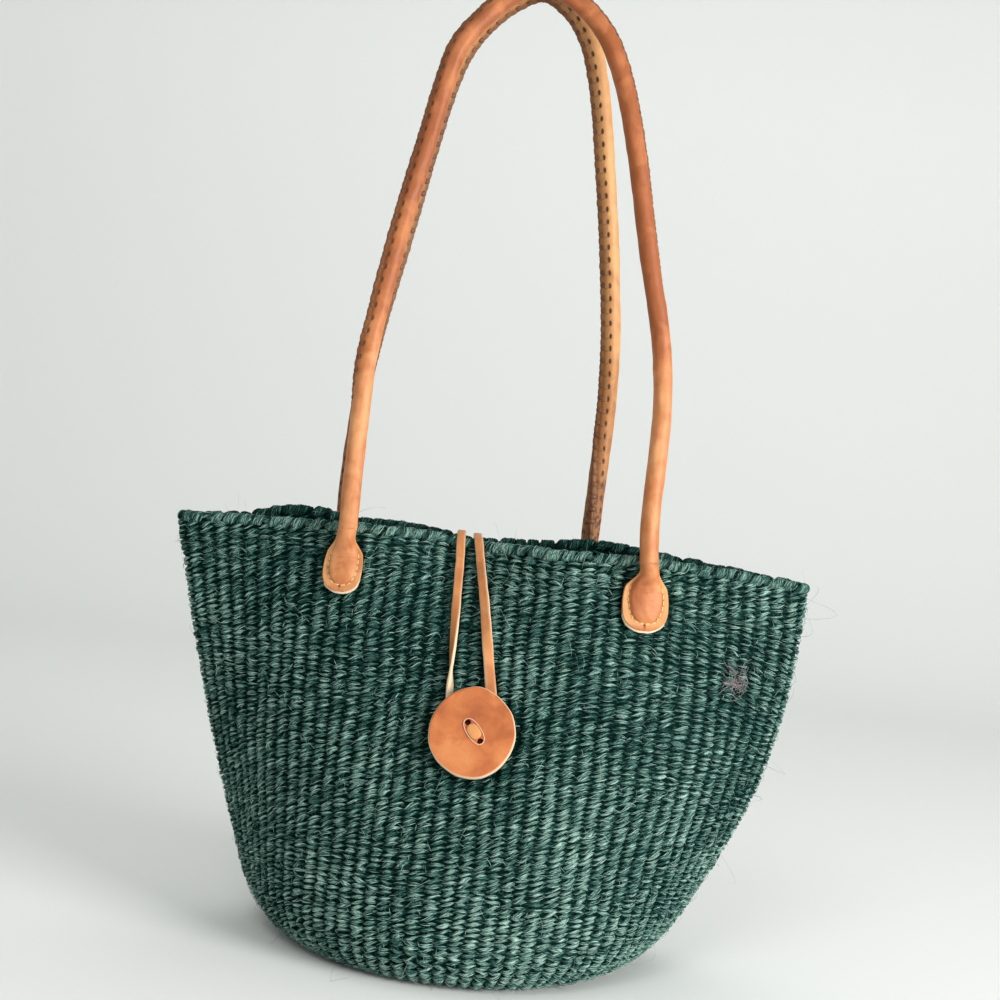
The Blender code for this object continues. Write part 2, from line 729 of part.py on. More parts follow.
def ribbon(name, stations, collection, material):
    """A flat thong through stations of a point and an outward direction."""
    bm = bmesh.new()
    pairs = []
    for i, (point, outward) in enumerate(stations):
        before = stations[max(i - 1, 0)][0]
        after = stations[min(i + 1, len(stations) - 1)][0]
        across = (after - before).normalized().cross(outward).normalized()
        edge = across * THONG_WIDTH / 2
        pairs.append((bm.verts.new(point - edge), bm.verts.new(point + edge)))
    for (a, b), (c, d) in zip(pairs, pairs[1:]):
        bm.faces.new((a, b, d, c))
    mesh = bpy.data.meshes.new(name)
    bm.to_mesh(mesh)
    bm.free()
    strip = add_object(name, mesh, collection, material)
    add_thickness(strip, THONG_THICKNESS, 0.0)
    return strip


def thong_lift():
    """Height of the thong's middle above what it lies on."""
    return LOOP_LIFT + THONG_THICKNESS / 2


def loop_hinge():
    """Middle of the line on the back rim that the loop swings on."""
    top = rim_centre(LOOP_RIM_CENTRE, BACK)
    return top + Vector((0, 0, BRAID_RADIUS + thong_lift()))


def strand(leg):
    """Stations of one strand, from the back rim over the front rim and down the front."""
    x = LOOP_RIM_CENTRE + LOOP_RIM_HALF_SPACING * leg
    hinge = loop_hinge()
    start = Vector((x, hinge.y - SEAT_GAP / 2, hinge.z))
    stations = [(start, Vector((0, 0, 1)))]
    stations.append((Vector((x, 0.0, hinge.z)), Vector((0, 0, 1))))
    stations += rim_wrap(x, FRONT, (math.radians(a) for a in (10, 45, 80)), thong_lift())
    low_x = LOOP_LOW_CENTRE + LOOP_LOW_HALF_SPACING * leg
    top_z = rim_centre(x, FRONT).z - BRAID_RADIUS
    low_z = LOOP_TURN_HEIGHT
    rows = 7
    for i in range(1, rows + 1):
        share = i / (rows + 1)
        z = top_z + (low_z - top_z) * share
        spot = wall_spot(x + (low_x - x) * share ** STRAND_SPREAD_POWER, z, FRONT)
        outward = spot.to_3x3() @ Vector((0, 0, 1))
        settle = WALL / 2 * (1 - share) ** STRAND_SETTLE_POWER
        stations.append((spot.to_translation() + outward * (thong_lift() + settle), outward))
    return stations


def loop_turn():
    """Stations of the round end, behind the button and under its lace."""
    turned = []
    for angle in (180, 225, 270, 315, 360):
        a = math.radians(angle)
        x = LOOP_LOW_CENTRE + LOOP_LOW_HALF_SPACING * math.cos(a)
        z = LOOP_TURN_HEIGHT + LOOP_TURN_RADIUS * math.sin(a)
        spot = wall_spot(x, z, FRONT)
        outward = spot.to_3x3() @ Vector((0, 0, 1))
        turned.append((spot.to_translation() + outward * thong_lift(), outward))
    return turned


def make_closure_loop(parts, leather):
    """The moving part of the thong, one strip, under an empty on its hinge line."""
    empty = bpy.data.objects.new("closure_loop_hinge", None)
    parts.objects.link(empty)
    empty.location = loop_hinge()
    stations = strand(-1) + loop_turn() + strand(1)[::-1]
    local = [(point - empty.location, outward) for point, outward in stations]
    loop = ribbon("closure_loop", local, parts, leather)
    loop.parent = empty


def anchor_height():
    """Height at which the thong's tails pass through the back wall."""
    return top_height(LOOP_RIM_CENTRE, BACK) - ANCHOR_DROP


def anchor_slot_cutters(guides):
    """Slots through the back wall for the two tails."""
    cutters = []
    for leg in (-1, 1):
        x = LOOP_RIM_CENTRE + LOOP_RIM_HALF_SPACING * leg
        spot = wall_spot(x, anchor_height(), BACK)
        bm = bmesh.new()
        size = Vector((THONG_WIDTH + 2 * SLOT_CLEARANCE, THONG_THICKNESS + 2 * SLOT_CLEARANCE,
                       WALL + 2 * CUT_OVERRUN))
        bmesh.ops.create_cube(bm, size=1.0, matrix=Matrix.Diagonal((*size, 1.0)))
        cutter = mesh_object(f"tail_slot_{'right' if leg > 0 else 'left'}", bm, guides)
        place(cutter, spot @ Matrix.Translation((0, 0, -WALL / 2)))
        cutters.append(as_guide(cutter))
    return cutters


def make_loop_anchors(parts, guides, leather):
    """The thong's two tails: down the back of the rim, in through the wall to a knot."""
    hinge = loop_hinge()
    for leg, tag in ((-1, "left"), (1, "right")):
        x = LOOP_RIM_CENTRE + LOOP_RIM_HALF_SPACING * leg
        start = Vector((x, hinge.y + SEAT_GAP / 2, hinge.z))
        stations = [(start, Vector((0, 0, 1)))]
        stations += rim_wrap(x, BACK, (math.radians(a) for a in (25, 60, 95)), thong_lift())
        spot = wall_spot(x, anchor_height(), BACK)
        turned = spot.to_3x3()
        outward = turned @ Vector((0, 0, 1))
        upward = turned @ Vector((0, 1, 0))
        base = spot.to_translation()
        bend = thong_lift() + THONG_THICKNESS
        above = upward * THONG_THICKNESS * TAIL_ABOVE_SLOT_SHARE
        stations.append((base + outward * bend + above, outward))
        corner = (outward - upward).normalized()
        inset = THONG_THICKNESS * TAIL_CORNER_SHARE
        stations.append((base + outward * (bend - inset), corner))
        inner = -WALL - SEAT_GAP - CURVED_SEAT - ANCHOR_KNOT_RADIUS
        stations.append((base, -upward))
        stations.append((base + outward * inner, -upward))
        tail = ribbon(f"loop_anchor_{tag}", stations, parts, leather)
        bm = bmesh.new()
        bmesh.ops.create_uvsphere(bm, u_segments=12, v_segments=8, radius=ANCHOR_KNOT_RADIUS)
        knot = mesh_object(f"tail_knot_{tag}", bm, guides)
        place(knot, spot @ Matrix.Translation((0, 0, inner)))
        add_boolean(tail, as_guide(knot), "UNION")


def main():
    """Builds the basket."""
    parts, guides = start_scene()
    sisal = make_material("green_sisal", (0.035, 0.085, 0.072), 0.85)
    rope = make_material("plain_rope", (0.55, 0.44, 0.28), 0.9)
    leather = make_material("tan_leather", (0.60, 0.26, 0.11), 0.5)
    thong = make_material("tan_thong", (0.66, 0.30, 0.13), 0.55)
    raw_leather = make_material("raw_leather", (0.74, 0.50, 0.30), 0.7)

    make_woven_basket(parts, guides, sisal)
    make_rim_braid(parts, sisal)
    profile = handle_profile(guides)
    make_handle(FRONT, "front_handle", profile, parts, leather, rope)
    make_handle(BACK, "back_handle", profile, parts, leather, rope)
    make_tab(FRONT, -1, LEFT_TAB_WIDTH, LEFT_TAB_LENGTH, parts, leather, raw_leather)
    make_tab(FRONT, 1, RIGHT_TAB_WIDTH, RIGHT_TAB_LENGTH, parts, leather, raw_leather)
    make_tab(BACK, -1, BACK_TAB_WIDTH, BACK_TAB_LENGTH, parts, leather, raw_leather)
    make_tab(BACK, 1, BACK_TAB_WIDTH, BACK_TAB_LENGTH, parts, leather, raw_leather)
    make_button(parts, guides, leather, raw_leather)
    make_closure_loop(parts, thong)
    make_loop_anchors(parts, guides, thong)


main()
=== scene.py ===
"""Looks of the kiondo basket: twined sisal, laced leather handles, button and thong.

Metres, +Z up, in the CAD's frame. Each piece rides on the CAD body that carries it.
"""

import json
import math

import bmesh
import bpy
import numpy as np
from mathutils import Matrix, Vector

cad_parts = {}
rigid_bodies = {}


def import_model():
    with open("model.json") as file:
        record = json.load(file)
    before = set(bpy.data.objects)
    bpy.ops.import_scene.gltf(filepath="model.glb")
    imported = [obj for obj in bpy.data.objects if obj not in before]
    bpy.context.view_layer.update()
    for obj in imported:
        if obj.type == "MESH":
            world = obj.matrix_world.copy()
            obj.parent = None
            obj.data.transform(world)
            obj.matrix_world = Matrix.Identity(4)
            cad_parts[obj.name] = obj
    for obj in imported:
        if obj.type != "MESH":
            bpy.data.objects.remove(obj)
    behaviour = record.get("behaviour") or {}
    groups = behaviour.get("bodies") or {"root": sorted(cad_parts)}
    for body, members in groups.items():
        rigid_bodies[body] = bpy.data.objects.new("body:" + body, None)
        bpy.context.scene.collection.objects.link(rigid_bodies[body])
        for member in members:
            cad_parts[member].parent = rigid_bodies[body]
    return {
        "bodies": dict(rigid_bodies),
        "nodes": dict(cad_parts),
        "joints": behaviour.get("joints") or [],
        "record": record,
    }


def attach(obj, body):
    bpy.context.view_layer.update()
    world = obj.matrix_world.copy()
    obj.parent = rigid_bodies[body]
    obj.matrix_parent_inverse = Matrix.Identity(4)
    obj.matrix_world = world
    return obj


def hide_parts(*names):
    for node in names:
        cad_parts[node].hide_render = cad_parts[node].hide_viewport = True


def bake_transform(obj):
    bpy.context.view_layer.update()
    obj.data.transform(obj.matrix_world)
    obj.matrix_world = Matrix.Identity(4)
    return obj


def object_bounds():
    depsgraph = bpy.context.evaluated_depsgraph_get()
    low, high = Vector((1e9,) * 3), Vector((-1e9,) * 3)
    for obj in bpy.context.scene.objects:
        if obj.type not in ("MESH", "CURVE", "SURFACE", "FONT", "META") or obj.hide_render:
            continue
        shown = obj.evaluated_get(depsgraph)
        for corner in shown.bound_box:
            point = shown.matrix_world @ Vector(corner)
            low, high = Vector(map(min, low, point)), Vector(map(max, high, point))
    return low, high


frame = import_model()
cad_low, cad_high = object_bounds()

MM = 0.001
FRONT, BACK = -1, 1
SIDE_NAMES = {FRONT: "front", BACK: "back"}
LEG_NAMES = {-1: "left", 1: "right"}

# Sizes that the CAD has too, in metres
MOUTH_HALF_LENGTH = 0.188
MOUTH_HALF_DEPTH = 0.034
MOUTH_FOLD_RADIUS = 0.008
PINCH_HALF_DEPTH = 0.0095
PINCH_REACH = 0.042
BASE_RADIUS = 0.116
BASE_ROUNDING = 0.038
WALL_HEIGHT = 0.239
RIM_SAG = 0.0092
LEFT_SWELL = 0.004
RIGHT_SWELL = 0.020
WALL = 0.0045
BRAID_RADIUS = 0.0045
LOOP_RIM_CENTRE = -0.0155
LOOP_RIM_HALF_SPACING = 0.0048
LOOP_LOW_CENTRE = -0.0015
LOOP_LOW_HALF_SPACING = 0.0130
LOOP_TURN_HEIGHT = 0.1285
LOOP_TURN_RADIUS = 0.010
THONG_WIDTH = 0.005
THONG_THICKNESS = 0.0018
SEAT_GAP = 0.0003
HINGE_HEIGHT = 0.2413
APEX_HEIGHT = 0.568
HANDLE_RADIUS = 0.0055
TAB_LEATHER = 0.0018
BUTTON_HEIGHT = 0.1354
BUTTON_RADIUS = 0.0257
BUTTON_THICKNESS = 0.0031
BUTTON_STANDOFF = 0.0052
HOLE_SPACING = 0.013

# Sizes of the scene alone: rim and thong, the handles' apex, and the button's holes, whose
# line the photograph shows a little less steep than the CAD has it
RIM_HEIGHT = 0.243
BRAID_TOP = 0.0033
RIM_PRESS = 0.0015
PRESS_REACH = 0.015
THONG_LIFT = 0.0018
THONG_BOW = 0.0015
THONG_SINK = 0.0003
THONG_SNUG = BRAID_TOP + THONG_THICKNESS / 2 + 0.1 * MM
TAIL_DROP = 0.017
HANDLE_TOP_DEPTH = 0.0076
HOLE_LINE = np.array([math.cos(math.radians(-50)), math.sin(math.radians(-50))])
EYE_SHIFT = np.array([1.0, 0.5]) * MM

# Waves of the rim's height: their middle, reach and height. The last one is the back rim's
# dip at the thong, which the CAD leaves out.
TOP_WAVES = {FRONT: ((0.014, 0.062, -0.0048),),
             BACK: ((-0.120, 0.025, 0.0058), (0.063, 0.028, 0.0026),
                    (0.008, 0.036, -0.0038))}

# Per side: the handle's outline as share of its rise, left x and right x; hinge depth
OUTLINES = {
    FRONT: np.array([
        (0.0, -0.0850, 0.0893), (0.08, -0.0855, 0.0873), (0.22, -0.0857, 0.0874),
        (0.30, -0.0853, 0.0862), (0.40, -0.0816, 0.0812), (0.50, -0.0769, 0.0727),
        (0.60, -0.0715, 0.0646), (0.70, -0.0654, 0.0570), (0.80, -0.0596, 0.0480),
        (0.87, -0.0540, 0.0395), (0.924, -0.0425, 0.0298), (0.972, -0.0275, 0.0135),
        (1.0, -0.0085, -0.0085)]),
    BACK: np.array([
        (0.0, -0.0935, 0.0575), (0.10, -0.0934, 0.0577), (0.23, -0.0913, 0.0582),
        (0.30, -0.0895, 0.0578), (0.40, -0.0852, 0.0556), (0.50, -0.0790, 0.0512),
        (0.60, -0.0730, 0.0461), (0.70, -0.0672, 0.0402), (0.80, -0.0605, 0.0340),
        (0.87, -0.0535, 0.0283), (0.924, -0.0430, 0.0215), (0.972, -0.0275, 0.0095),
        (1.0, -0.0085, -0.0085)])}
HINGE_DEPTHS = {FRONT: 0.034907, BACK: 0.038619}
TABS = {(FRONT, -1): (0.0225, 0.0300), (FRONT, 1): (0.0275, 0.0325),
        (BACK, -1): (0.0255, 0.0315), (BACK, 1): (0.0255, 0.0315)}

# Weave: ribs round the wall, and rows from the middle of the base to the rim
RIBS = 88
ROWS = 124
PER_STITCH = 6
SIDES = 8
LOW_PITCH, PITCH_GROWTH = 0.925, 0.083
LAID_FROM = 0.16
MOST_FACES, MOST_FIBRES = 165000, 4800
FLOOR_RINGS, CORNER_RINGS, WALL_RINGS = 40, 40, 140
FEW_RIBS_RADII = (0.056, 0.028, 0.012)
RIB_HALF_WIDTH = 1.5 * MM
FILLING_HALF_THICKNESS = 0.4 * MM
STITCH_DEPTH = 1.78 * MM
STITCH_LEAN = 1.30 * MM
STITCH_THIN, STITCH_THICKENS = 0.66 * MM, 0.38 * MM
WANDER_ALONG, WANDER_UP, WANDER_OUT = 1.3 * MM, 1.2 * MM, 0.3 * MM

# Painted contact shade beside the leather on the weave: how far down the button's shadow is
# moved, and how far the shade reaches
BUTTON_SHADOW_DROP = 0.6 * MM
SHADE_REACH = 2.3 * MM

# A stretch of painted shade on the front wall, as x and z of its middle and its reach
SHADE_SPOT_MIDDLE, SHADE_SPOT_REACH = (-0.045, 0.205), (0.032, 0.045)

# How the fibres turn round a strand and round a loose fibre, in radians for each metre
STRAND_TWIST, FIBRE_TWIST = 190.0, 150

# Fibres: half widths, the wall's length round and up, and the least height over the floor
FINE_HALF_WIDTHS = (0.10 * MM, 0.22 * MM)
FUZZ_HALF_WIDTHS = (0.06 * MM, 0.13 * MM)
FUZZ_LENGTHS = (2.4 * MM, 6.0 * MM)
LOOSE_HALF_WIDTHS = (0.05 * MM, 0.11 * MM)
LOOSE_LENGTHS = (7 * MM, 20 * MM)
LOOSE_STRAY = 9 * MM
TURN_LENGTH, RISE_LENGTH = 0.72, 0.30
LOWEST = 0.4 * MM

# Rim: a flat bundle of sisal wound over the edge, one wrap to each rib, with painted shade at
# the back
WRAP_WIDE = 3.3 * MM
WRAP_THICK = 1.95 * MM
WRAP_REACH = 1.25 * MM
WRAP_RISE = 0.55 * MM
RIM_BACK_START, RIM_BACK_REACH = 4 * MM, 5 * MM


# Small helpers

def smooth_noise(cells_u, cells_v, seed):
    """A smooth random field from -1 to 1 over u in 0..1, which wraps, and v in 0..1."""
    grid = np.random.default_rng(seed).uniform(-1, 1, (cells_u, cells_v + 1))

    def field(u, v):
        x = np.mod(u, 1.0) * cells_u
        y = np.clip(v, 0, 0.99999) * cells_v
        i, j = np.floor(x).astype(int), np.floor(y).astype(int)
        a, b = x - i, y - j
        a, b = a * a * (3 - 2 * a), b * b * (3 - 2 * b)
        i, k = i % cells_u, (i + 1) % cells_u
        low = grid[i, j] * (1 - a) + grid[k, j] * a
        high = grid[i, j + 1] * (1 - a) + grid[k, j + 1] * a
        return low * (1 - b) + high * b
    return field


def unit(v):
    """Vectors scaled to length one."""
    return v / np.maximum(np.linalg.norm(v, axis=-1, keepdims=True), 1e-12)


def steps_of(points):
    """Lengths of the steps along lines of points."""
    return np.linalg.norm(np.diff(points, axis=-2), axis=-1)


def running(steps):
    """Length from each line's start to each of its points."""
    return np.concatenate([0 * steps[..., :1], np.cumsum(steps, axis=-1)], -1)


def blended(at, places, table):
    """Rows of a table, whose places are given, blended at other places."""
    return np.stack([np.interp(at, places, column) for column in np.transpose(table)], -1)


def square_to(vectors, tangent):
    """What is left of vectors square to a line's direction, at length one."""
    return unit(vectors - (vectors * tangent).sum(-1, keepdims=True) * tangent)


def apply(matrix, points):
    """Points turned and moved by a matrix."""
    m = np.array(matrix)
    return points @ m[:3, :3].T + m[:3, 3]


def add_mesh(name, points, quads, material, attributes=None, smooth=True):
    """An object from arrays of points and of quads. An attribute is a vector at each point,
    or a number that is spread over the points."""
    mesh = bpy.data.meshes.new(name)
    mesh.vertices.add(points.size // 3)
    mesh.vertices.foreach_set("co", np.asarray(points, np.float32).ravel())
    mesh.loops.add(quads.size)
    mesh.loops.foreach_set("vertex_index", np.asarray(quads, np.int32).ravel())
    mesh.polygons.add(len(quads))
    mesh.polygons.foreach_set("loop_start", np.arange(0, quads.size, 4, dtype=np.int32))
    mesh.polygons.foreach_set("use_smooth", np.full(len(quads), smooth))
    for key, values in (attributes or {}).items():
        if np.ndim(values) == points.ndim:
            layer = mesh.attributes.new(key, "FLOAT_VECTOR", "POINT")
            layer.data.foreach_set("vector", np.asarray(values, np.float32).ravel())
        else:
            layer = mesh.attributes.new(key, "FLOAT", "POINT")
            spread = np.broadcast_to(values, points.shape[:-1])
            layer.data.foreach_set("value", spread.astype(np.float32).ravel())
    mesh.update(calc_edges=True)
    mesh.validate()
    obj = bpy.data.objects.new(name, mesh)
    bpy.context.scene.collection.objects.link(obj)
    mesh.materials.append(material)
    return obj


def grid_quads(rows, columns, wrap_rows, wrap_columns, start=0):
    """Quads of a grid of points, numbered row by row."""
    i = np.arange(rows if wrap_rows else rows - 1)
    j = np.arange(columns if wrap_columns else columns - 1)
    i, j = np.meshgrid(i, j, indexing="ij")
    k, m = (i + 1) % rows, (j + 1) % columns
    quads = np.stack([i * columns + j, i * columns + m, k * columns + m, k * columns + j], -1)
    return quads.reshape(-1, 4) + start


def cap_quads(sides, first):
    """Quads that close a ring with an even number of points."""
    k = np.arange(1, (sides - 2) // 2 + 1)
    return np.stack([0 * k, 2 * k - 1, 2 * k, 2 * k + 1], -1) + first


def tube_quads(stations, sides):
    """Quads of a tube and of its two flat ends."""
    return np.concatenate([grid_quads(stations, sides, False, True),
                           cap_quads(sides, 0)[:, ::-1],
                           cap_quads(sides, (stations - 1) * sides)])


def sweep(paths, hints, wide, thick, sides):
    """Tubes along n paths of m points. The section is an ellipse: wide across, and thick
    along the hints, which point out of the surface. Gives points, quads and angles."""
    n, m, _ = paths.shape
    tangent = unit(np.gradient(paths, axis=1))
    out = square_to(hints, tangent)
    side = np.cross(tangent, out)
    angle = 2 * math.pi * np.arange(sides) / sides
    points = (paths[:, :, None]
              + out[:, :, None] * (thick[..., None] * np.cos(angle))[..., None]
              + side[:, :, None] * (wide[..., None] * np.sin(angle))[..., None])
    quads = tube_quads(m, sides)[None] + (np.arange(n) * m * sides)[:, None, None]
    return points, quads.reshape(-1, 4), angle


def fibre_along(paths, wide, angle, jump=0.0):
    """Coordinates that run along each tube and round it, for the fibres' streaks."""
    along = running(steps_of(paths))
    turned = angle[None, None] + along[..., None] * FIBRE_TWIST
    number = np.arange(len(paths))[:, None, None] * 0.173 + jump
    return np.stack([along[..., None] + number + 0 * turned, np.cos(turned) * wide[..., None]
                     + number, np.sin(turned) * wide[..., None]], -1)


def catmull(points, count):
    """Points at even steps on a Catmull-Rom curve through the given points."""
    given = np.asarray(points, float)
    padded = np.vstack([2 * given[0] - given[1], given, 2 * given[-1] - given[-2]])
    per_span = 24
    t = (np.arange(per_span) / per_span)[:, None]
    dense = [0.5 * (2 * b + (c - a) * t + (2 * a - 5 * b + 4 * c - d) * t ** 2
                    + (3 * b - a - 3 * c + d) * t ** 3)
             for a, b, c, d in zip(padded, padded[1:], padded[2:], padded[3:])]
    dense = np.vstack(dense + [given[-1:]])
    length = running(steps_of(dense))
    return blended(np.linspace(0, length[-1], count), length, dense)


def through(stations, count):
    """A curve through stations of a point and more values, with those values along it."""
    given = np.array([np.hstack(station) for station in stations])
    steps = steps_of(given[:, :3])
    values = blended(np.linspace(0, 1, count), running(steps) / steps.sum(), given[:, 3:])
    return catmull(given[:, :3], count), values


def finish_piece(obj, body, slot, *nodes):
    """Puts a piece on its body and hides the CAD nodes that it stands for; slot is not used."""
    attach(obj, body)
    if nodes:
        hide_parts(*nodes)


def sisal_piece(name, points, quads, material, fibre, tone, crest, *nodes):
    """A piece of the basket in sisal, with the streaks' coordinates, its tone, and its crest
    value of wear with painted highlight and shade.
    """
    obj = add_mesh(name, points, quads, material, {"fibre": fibre, "tone": tone,
                                                   "crest": crest})
    finish_piece(obj, "basket", "green_sisal", *nodes)


def leather_piece(name, points, quads, material, cut, body, slot, *nodes):
    """A piece of leather or thread, where cut says how much of its raw inside shows."""
    obj = add_mesh(name, points, quads, material, {"cut": cut})
    finish_piece(obj, body, slot, *nodes)
    return obj


# The woven body's surface, as in the CAD

def mouth_half_depth(x):
    """Half the mouth's depth at x, with the pinch left out."""
    fold = MOUTH_FOLD_RADIUS
    straight = MOUTH_HALF_LENGTH - fold
    beyond = np.maximum(0.0, np.abs(x) - straight)
    end = np.sqrt(np.maximum(0.0, fold ** 2 - beyond ** 2))
    lens = np.maximum(0.0, 1 - (x / straight) ** 2) ** 1.5
    return end + (MOUTH_HALF_DEPTH - fold) * lens


def pinch_depth(x):
    """How far the thong draws each wall in at the top."""
    reach = (x - LOOP_RIM_CENTRE) / PINCH_REACH
    return (MOUTH_HALF_DEPTH - PINCH_HALF_DEPTH) * np.exp(-reach ** 2)


def mouth_outline():
    """The mouth from +X over the back to -X and home by the front, by length."""
    xs = MOUTH_HALF_LENGTH * np.cos(np.linspace(0, math.pi, 901))
    depth = mouth_half_depth(xs) - pinch_depth(xs)
    back = np.stack([xs, depth], -1)
    front = np.stack([xs[::-1], -depth[::-1]], -1)
    table = np.concatenate([back, front[1:]])
    length = running(steps_of(table))
    return table, length / length[-1]


MOUTH_TABLE, MOUTH_SHARE = mouth_outline()


def top_height(x, back):
    """Height of the wall's top, where back is 1 on the back wall and 0 on the front."""
    share = np.abs(x) / MOUTH_HALF_LENGTH
    front_wave, back_wave = (
        sum(height * np.exp(-((x - middle) / reach) ** 2)
            for middle, reach, height in TOP_WAVES[side]) for side in (FRONT, BACK))
    wave = np.where(back, back_wave, front_wave) * np.maximum(0.0, 1 - share ** 8)
    return WALL_HEIGHT - RIM_SAG * share ** 2 + wave


def wall_points(turn, rise):
    """Points of the outside, as if the wall met the floor in a sharp edge."""
    turn = np.mod(turn, 1.0)
    mouth_x, mouth_y = np.moveaxis(blended(turn, MOUTH_SHARE, MOUTH_TABLE), -1, 0)
    cos, sin = np.cos(2 * math.pi * turn), np.sin(2 * math.pi * turn)
    pinch = pinch_depth(mouth_x) * np.where(mouth_y >= 0, 1.0, -1.0)
    swell = np.where(cos > 0, RIGHT_SWELL, -LEFT_SWELL)
    swell = swell * np.sin(math.pi * rise) * np.abs(cos) ** 3
    x = BASE_RADIUS * cos * (1 - rise) + mouth_x * rise + swell
    y = BASE_RADIUS * sin * (1 - rise) + (mouth_y + pinch) * rise - pinch * rise ** 3
    return np.stack([x, y, top_height(mouth_x, mouth_y >= 0) * rise], -1)


def wall_spot(x, height, side):
    """The outside point of the front or back wall, with its frame: X along the wall, Y up
    it and Z out of it."""
    low, high = (0.0, 0.5) if side == BACK else (0.5, 1.0)
    for _ in range(40):
        turn = (low + high) / 2
        mouth_x = float(np.interp(turn, MOUTH_SHARE, MOUTH_TABLE[:, 0]))
        rise = height / top_height(mouth_x, side == BACK)
        if (wall_points(turn, rise)[0] > x) == (side == BACK):
            low = turn
        else:
            high = turn
    step = 0.004
    across = wall_points(turn + step, rise) - wall_points(turn - step, rise)
    upward = wall_points(turn, rise + step) - wall_points(turn, rise - step)
    outward = Vector(np.cross(across, upward)).normalized()
    up = (Vector((0, 0, 1)) - outward.z * outward).normalized()
    turned = Matrix((up.cross(outward), up, outward)).transposed().to_4x4()
    return Matrix.Translation(Vector(wall_points(turn, rise))) @ turned


def pressed(x):
    """How far the thong presses the rim down."""
    return RIM_PRESS * np.exp(-((x - LOOP_RIM_CENTRE) / PRESS_REACH) ** 2)


def thong_x(leg, share):
    """Where a strand of the thong runs, from the rim (0) to its turn at the button (1)."""
    top = LOOP_RIM_CENTRE + LOOP_RIM_HALF_SPACING * leg
    low = LOOP_LOW_CENTRE + LOOP_LOW_HALF_SPACING * leg
    bow = THONG_BOW * np.clip(share / 0.35, 0, 1) if leg > 0 else 0.0
    return top + (low - top) * share + bow


def rim_line(u):
    """Centres of the rim's roll, with the outward and level direction at each."""
    here = wall_points(u, 1.0 + 0 * u)
    along = wall_points(u + 0.002, 1.0 + 0 * u) - wall_points(u - 0.002, 1.0 + 0 * u)
    outward = unit(np.cross(along, (0.0, 0.0, 1.0)))
    facing = unit(np.cross(along, here - wall_points(u, 0.998 + 0 * u)))
    lift = WALL * np.maximum(0.0, -facing[..., 2]) + SEAT_GAP + BRAID_RADIUS
    centre = here - outward * WALL / 2
    centre[..., 2] += lift - pressed(centre[..., 0])
    return centre, outward


class Surface:
    """The outside of the woven body over u, round it, and v, from the middle of the base
    (0) to the top of the wall (1), in even steps of length."""

    def __init__(self, count_u=704, count_v=320):
        self.count_u, self.count_v = count_u, count_v
        u = np.arange(count_u) / count_u
        corner_rise = BASE_ROUNDING / WALL_HEIGHT
        flat = BASE_RADIUS - BASE_ROUNDING
        rim = np.stack([flat * np.cos(2 * math.pi * u), flat * np.sin(2 * math.pi * u),
                        0 * u], -1)
        rings = [rim * s for s in np.linspace(0.0, 1.0, FLOOR_RINGS)]
        edge, above = wall_points(u, 0 * u), wall_points(u, 0 * u + corner_rise)
        for s in np.linspace(0, 1, CORNER_RINGS)[1:]:
            rings.append(rim * (1 - s) ** 2 + edge * 2 * s * (1 - s) + above * s ** 2)
        for s in np.linspace(0, 1, WALL_RINGS)[1:]:
            rings.append(wall_points(u, 0 * u + corner_rise + (1 - corner_rise) * s))
        raw = np.stack(rings, 1)
        length = running(steps_of(raw))
        self.length = length[:, -1]
        wanted = np.linspace(0, 1, count_v)
        self.points = np.stack([blended(wanted, here / here[-1], ring)
                                for here, ring in zip(length, raw)])
        along = np.roll(self.points, -1, 0) - np.roll(self.points, 1, 0)
        up = np.gradient(self.points, axis=1)
        normal = np.cross(along, up)
        normal[:, 0] = (0, 0, -1)
        self.normals = unit(normal)

    def _pick(self, table, u, v):
        """A table's values at u and v, blended between the four places round them."""
        x = np.mod(u, 1.0) * self.count_u
        y = np.clip(v, 0, 1) * (self.count_v - 1)
        i = np.floor(x).astype(int) % self.count_u
        j = np.minimum(np.floor(y).astype(int), self.count_v - 2)
        a, b = (x - np.floor(x))[..., None], (y - j)[..., None]
        k = (i + 1) % self.count_u
        low = table[i, j] * (1 - a) + table[k, j] * a
        high = table[i, j + 1] * (1 - a) + table[k, j + 1] * a
        return low * (1 - b) + high * b

    def at(self, u, v):
        """Points and outward normals; past the top they go on along the wall."""
        point, normal = self._pick(self.points, u, v), unit(self._pick(self.normals, u, v))
        below = self._pick(self.points, u, 0.98 + 0 * v)
        past = (np.maximum(0.0, v - 1) * self.total(u))[..., None]
        return point + past * unit(point - below), normal

    def total(self, u):
        """Length from the middle of the base to the rim."""
        return np.interp(np.mod(u, 1.0) * self.count_u, np.arange(self.count_u + 1),
                         np.append(self.length, self.length[0]))


SURFACE = Surface()


# Materials

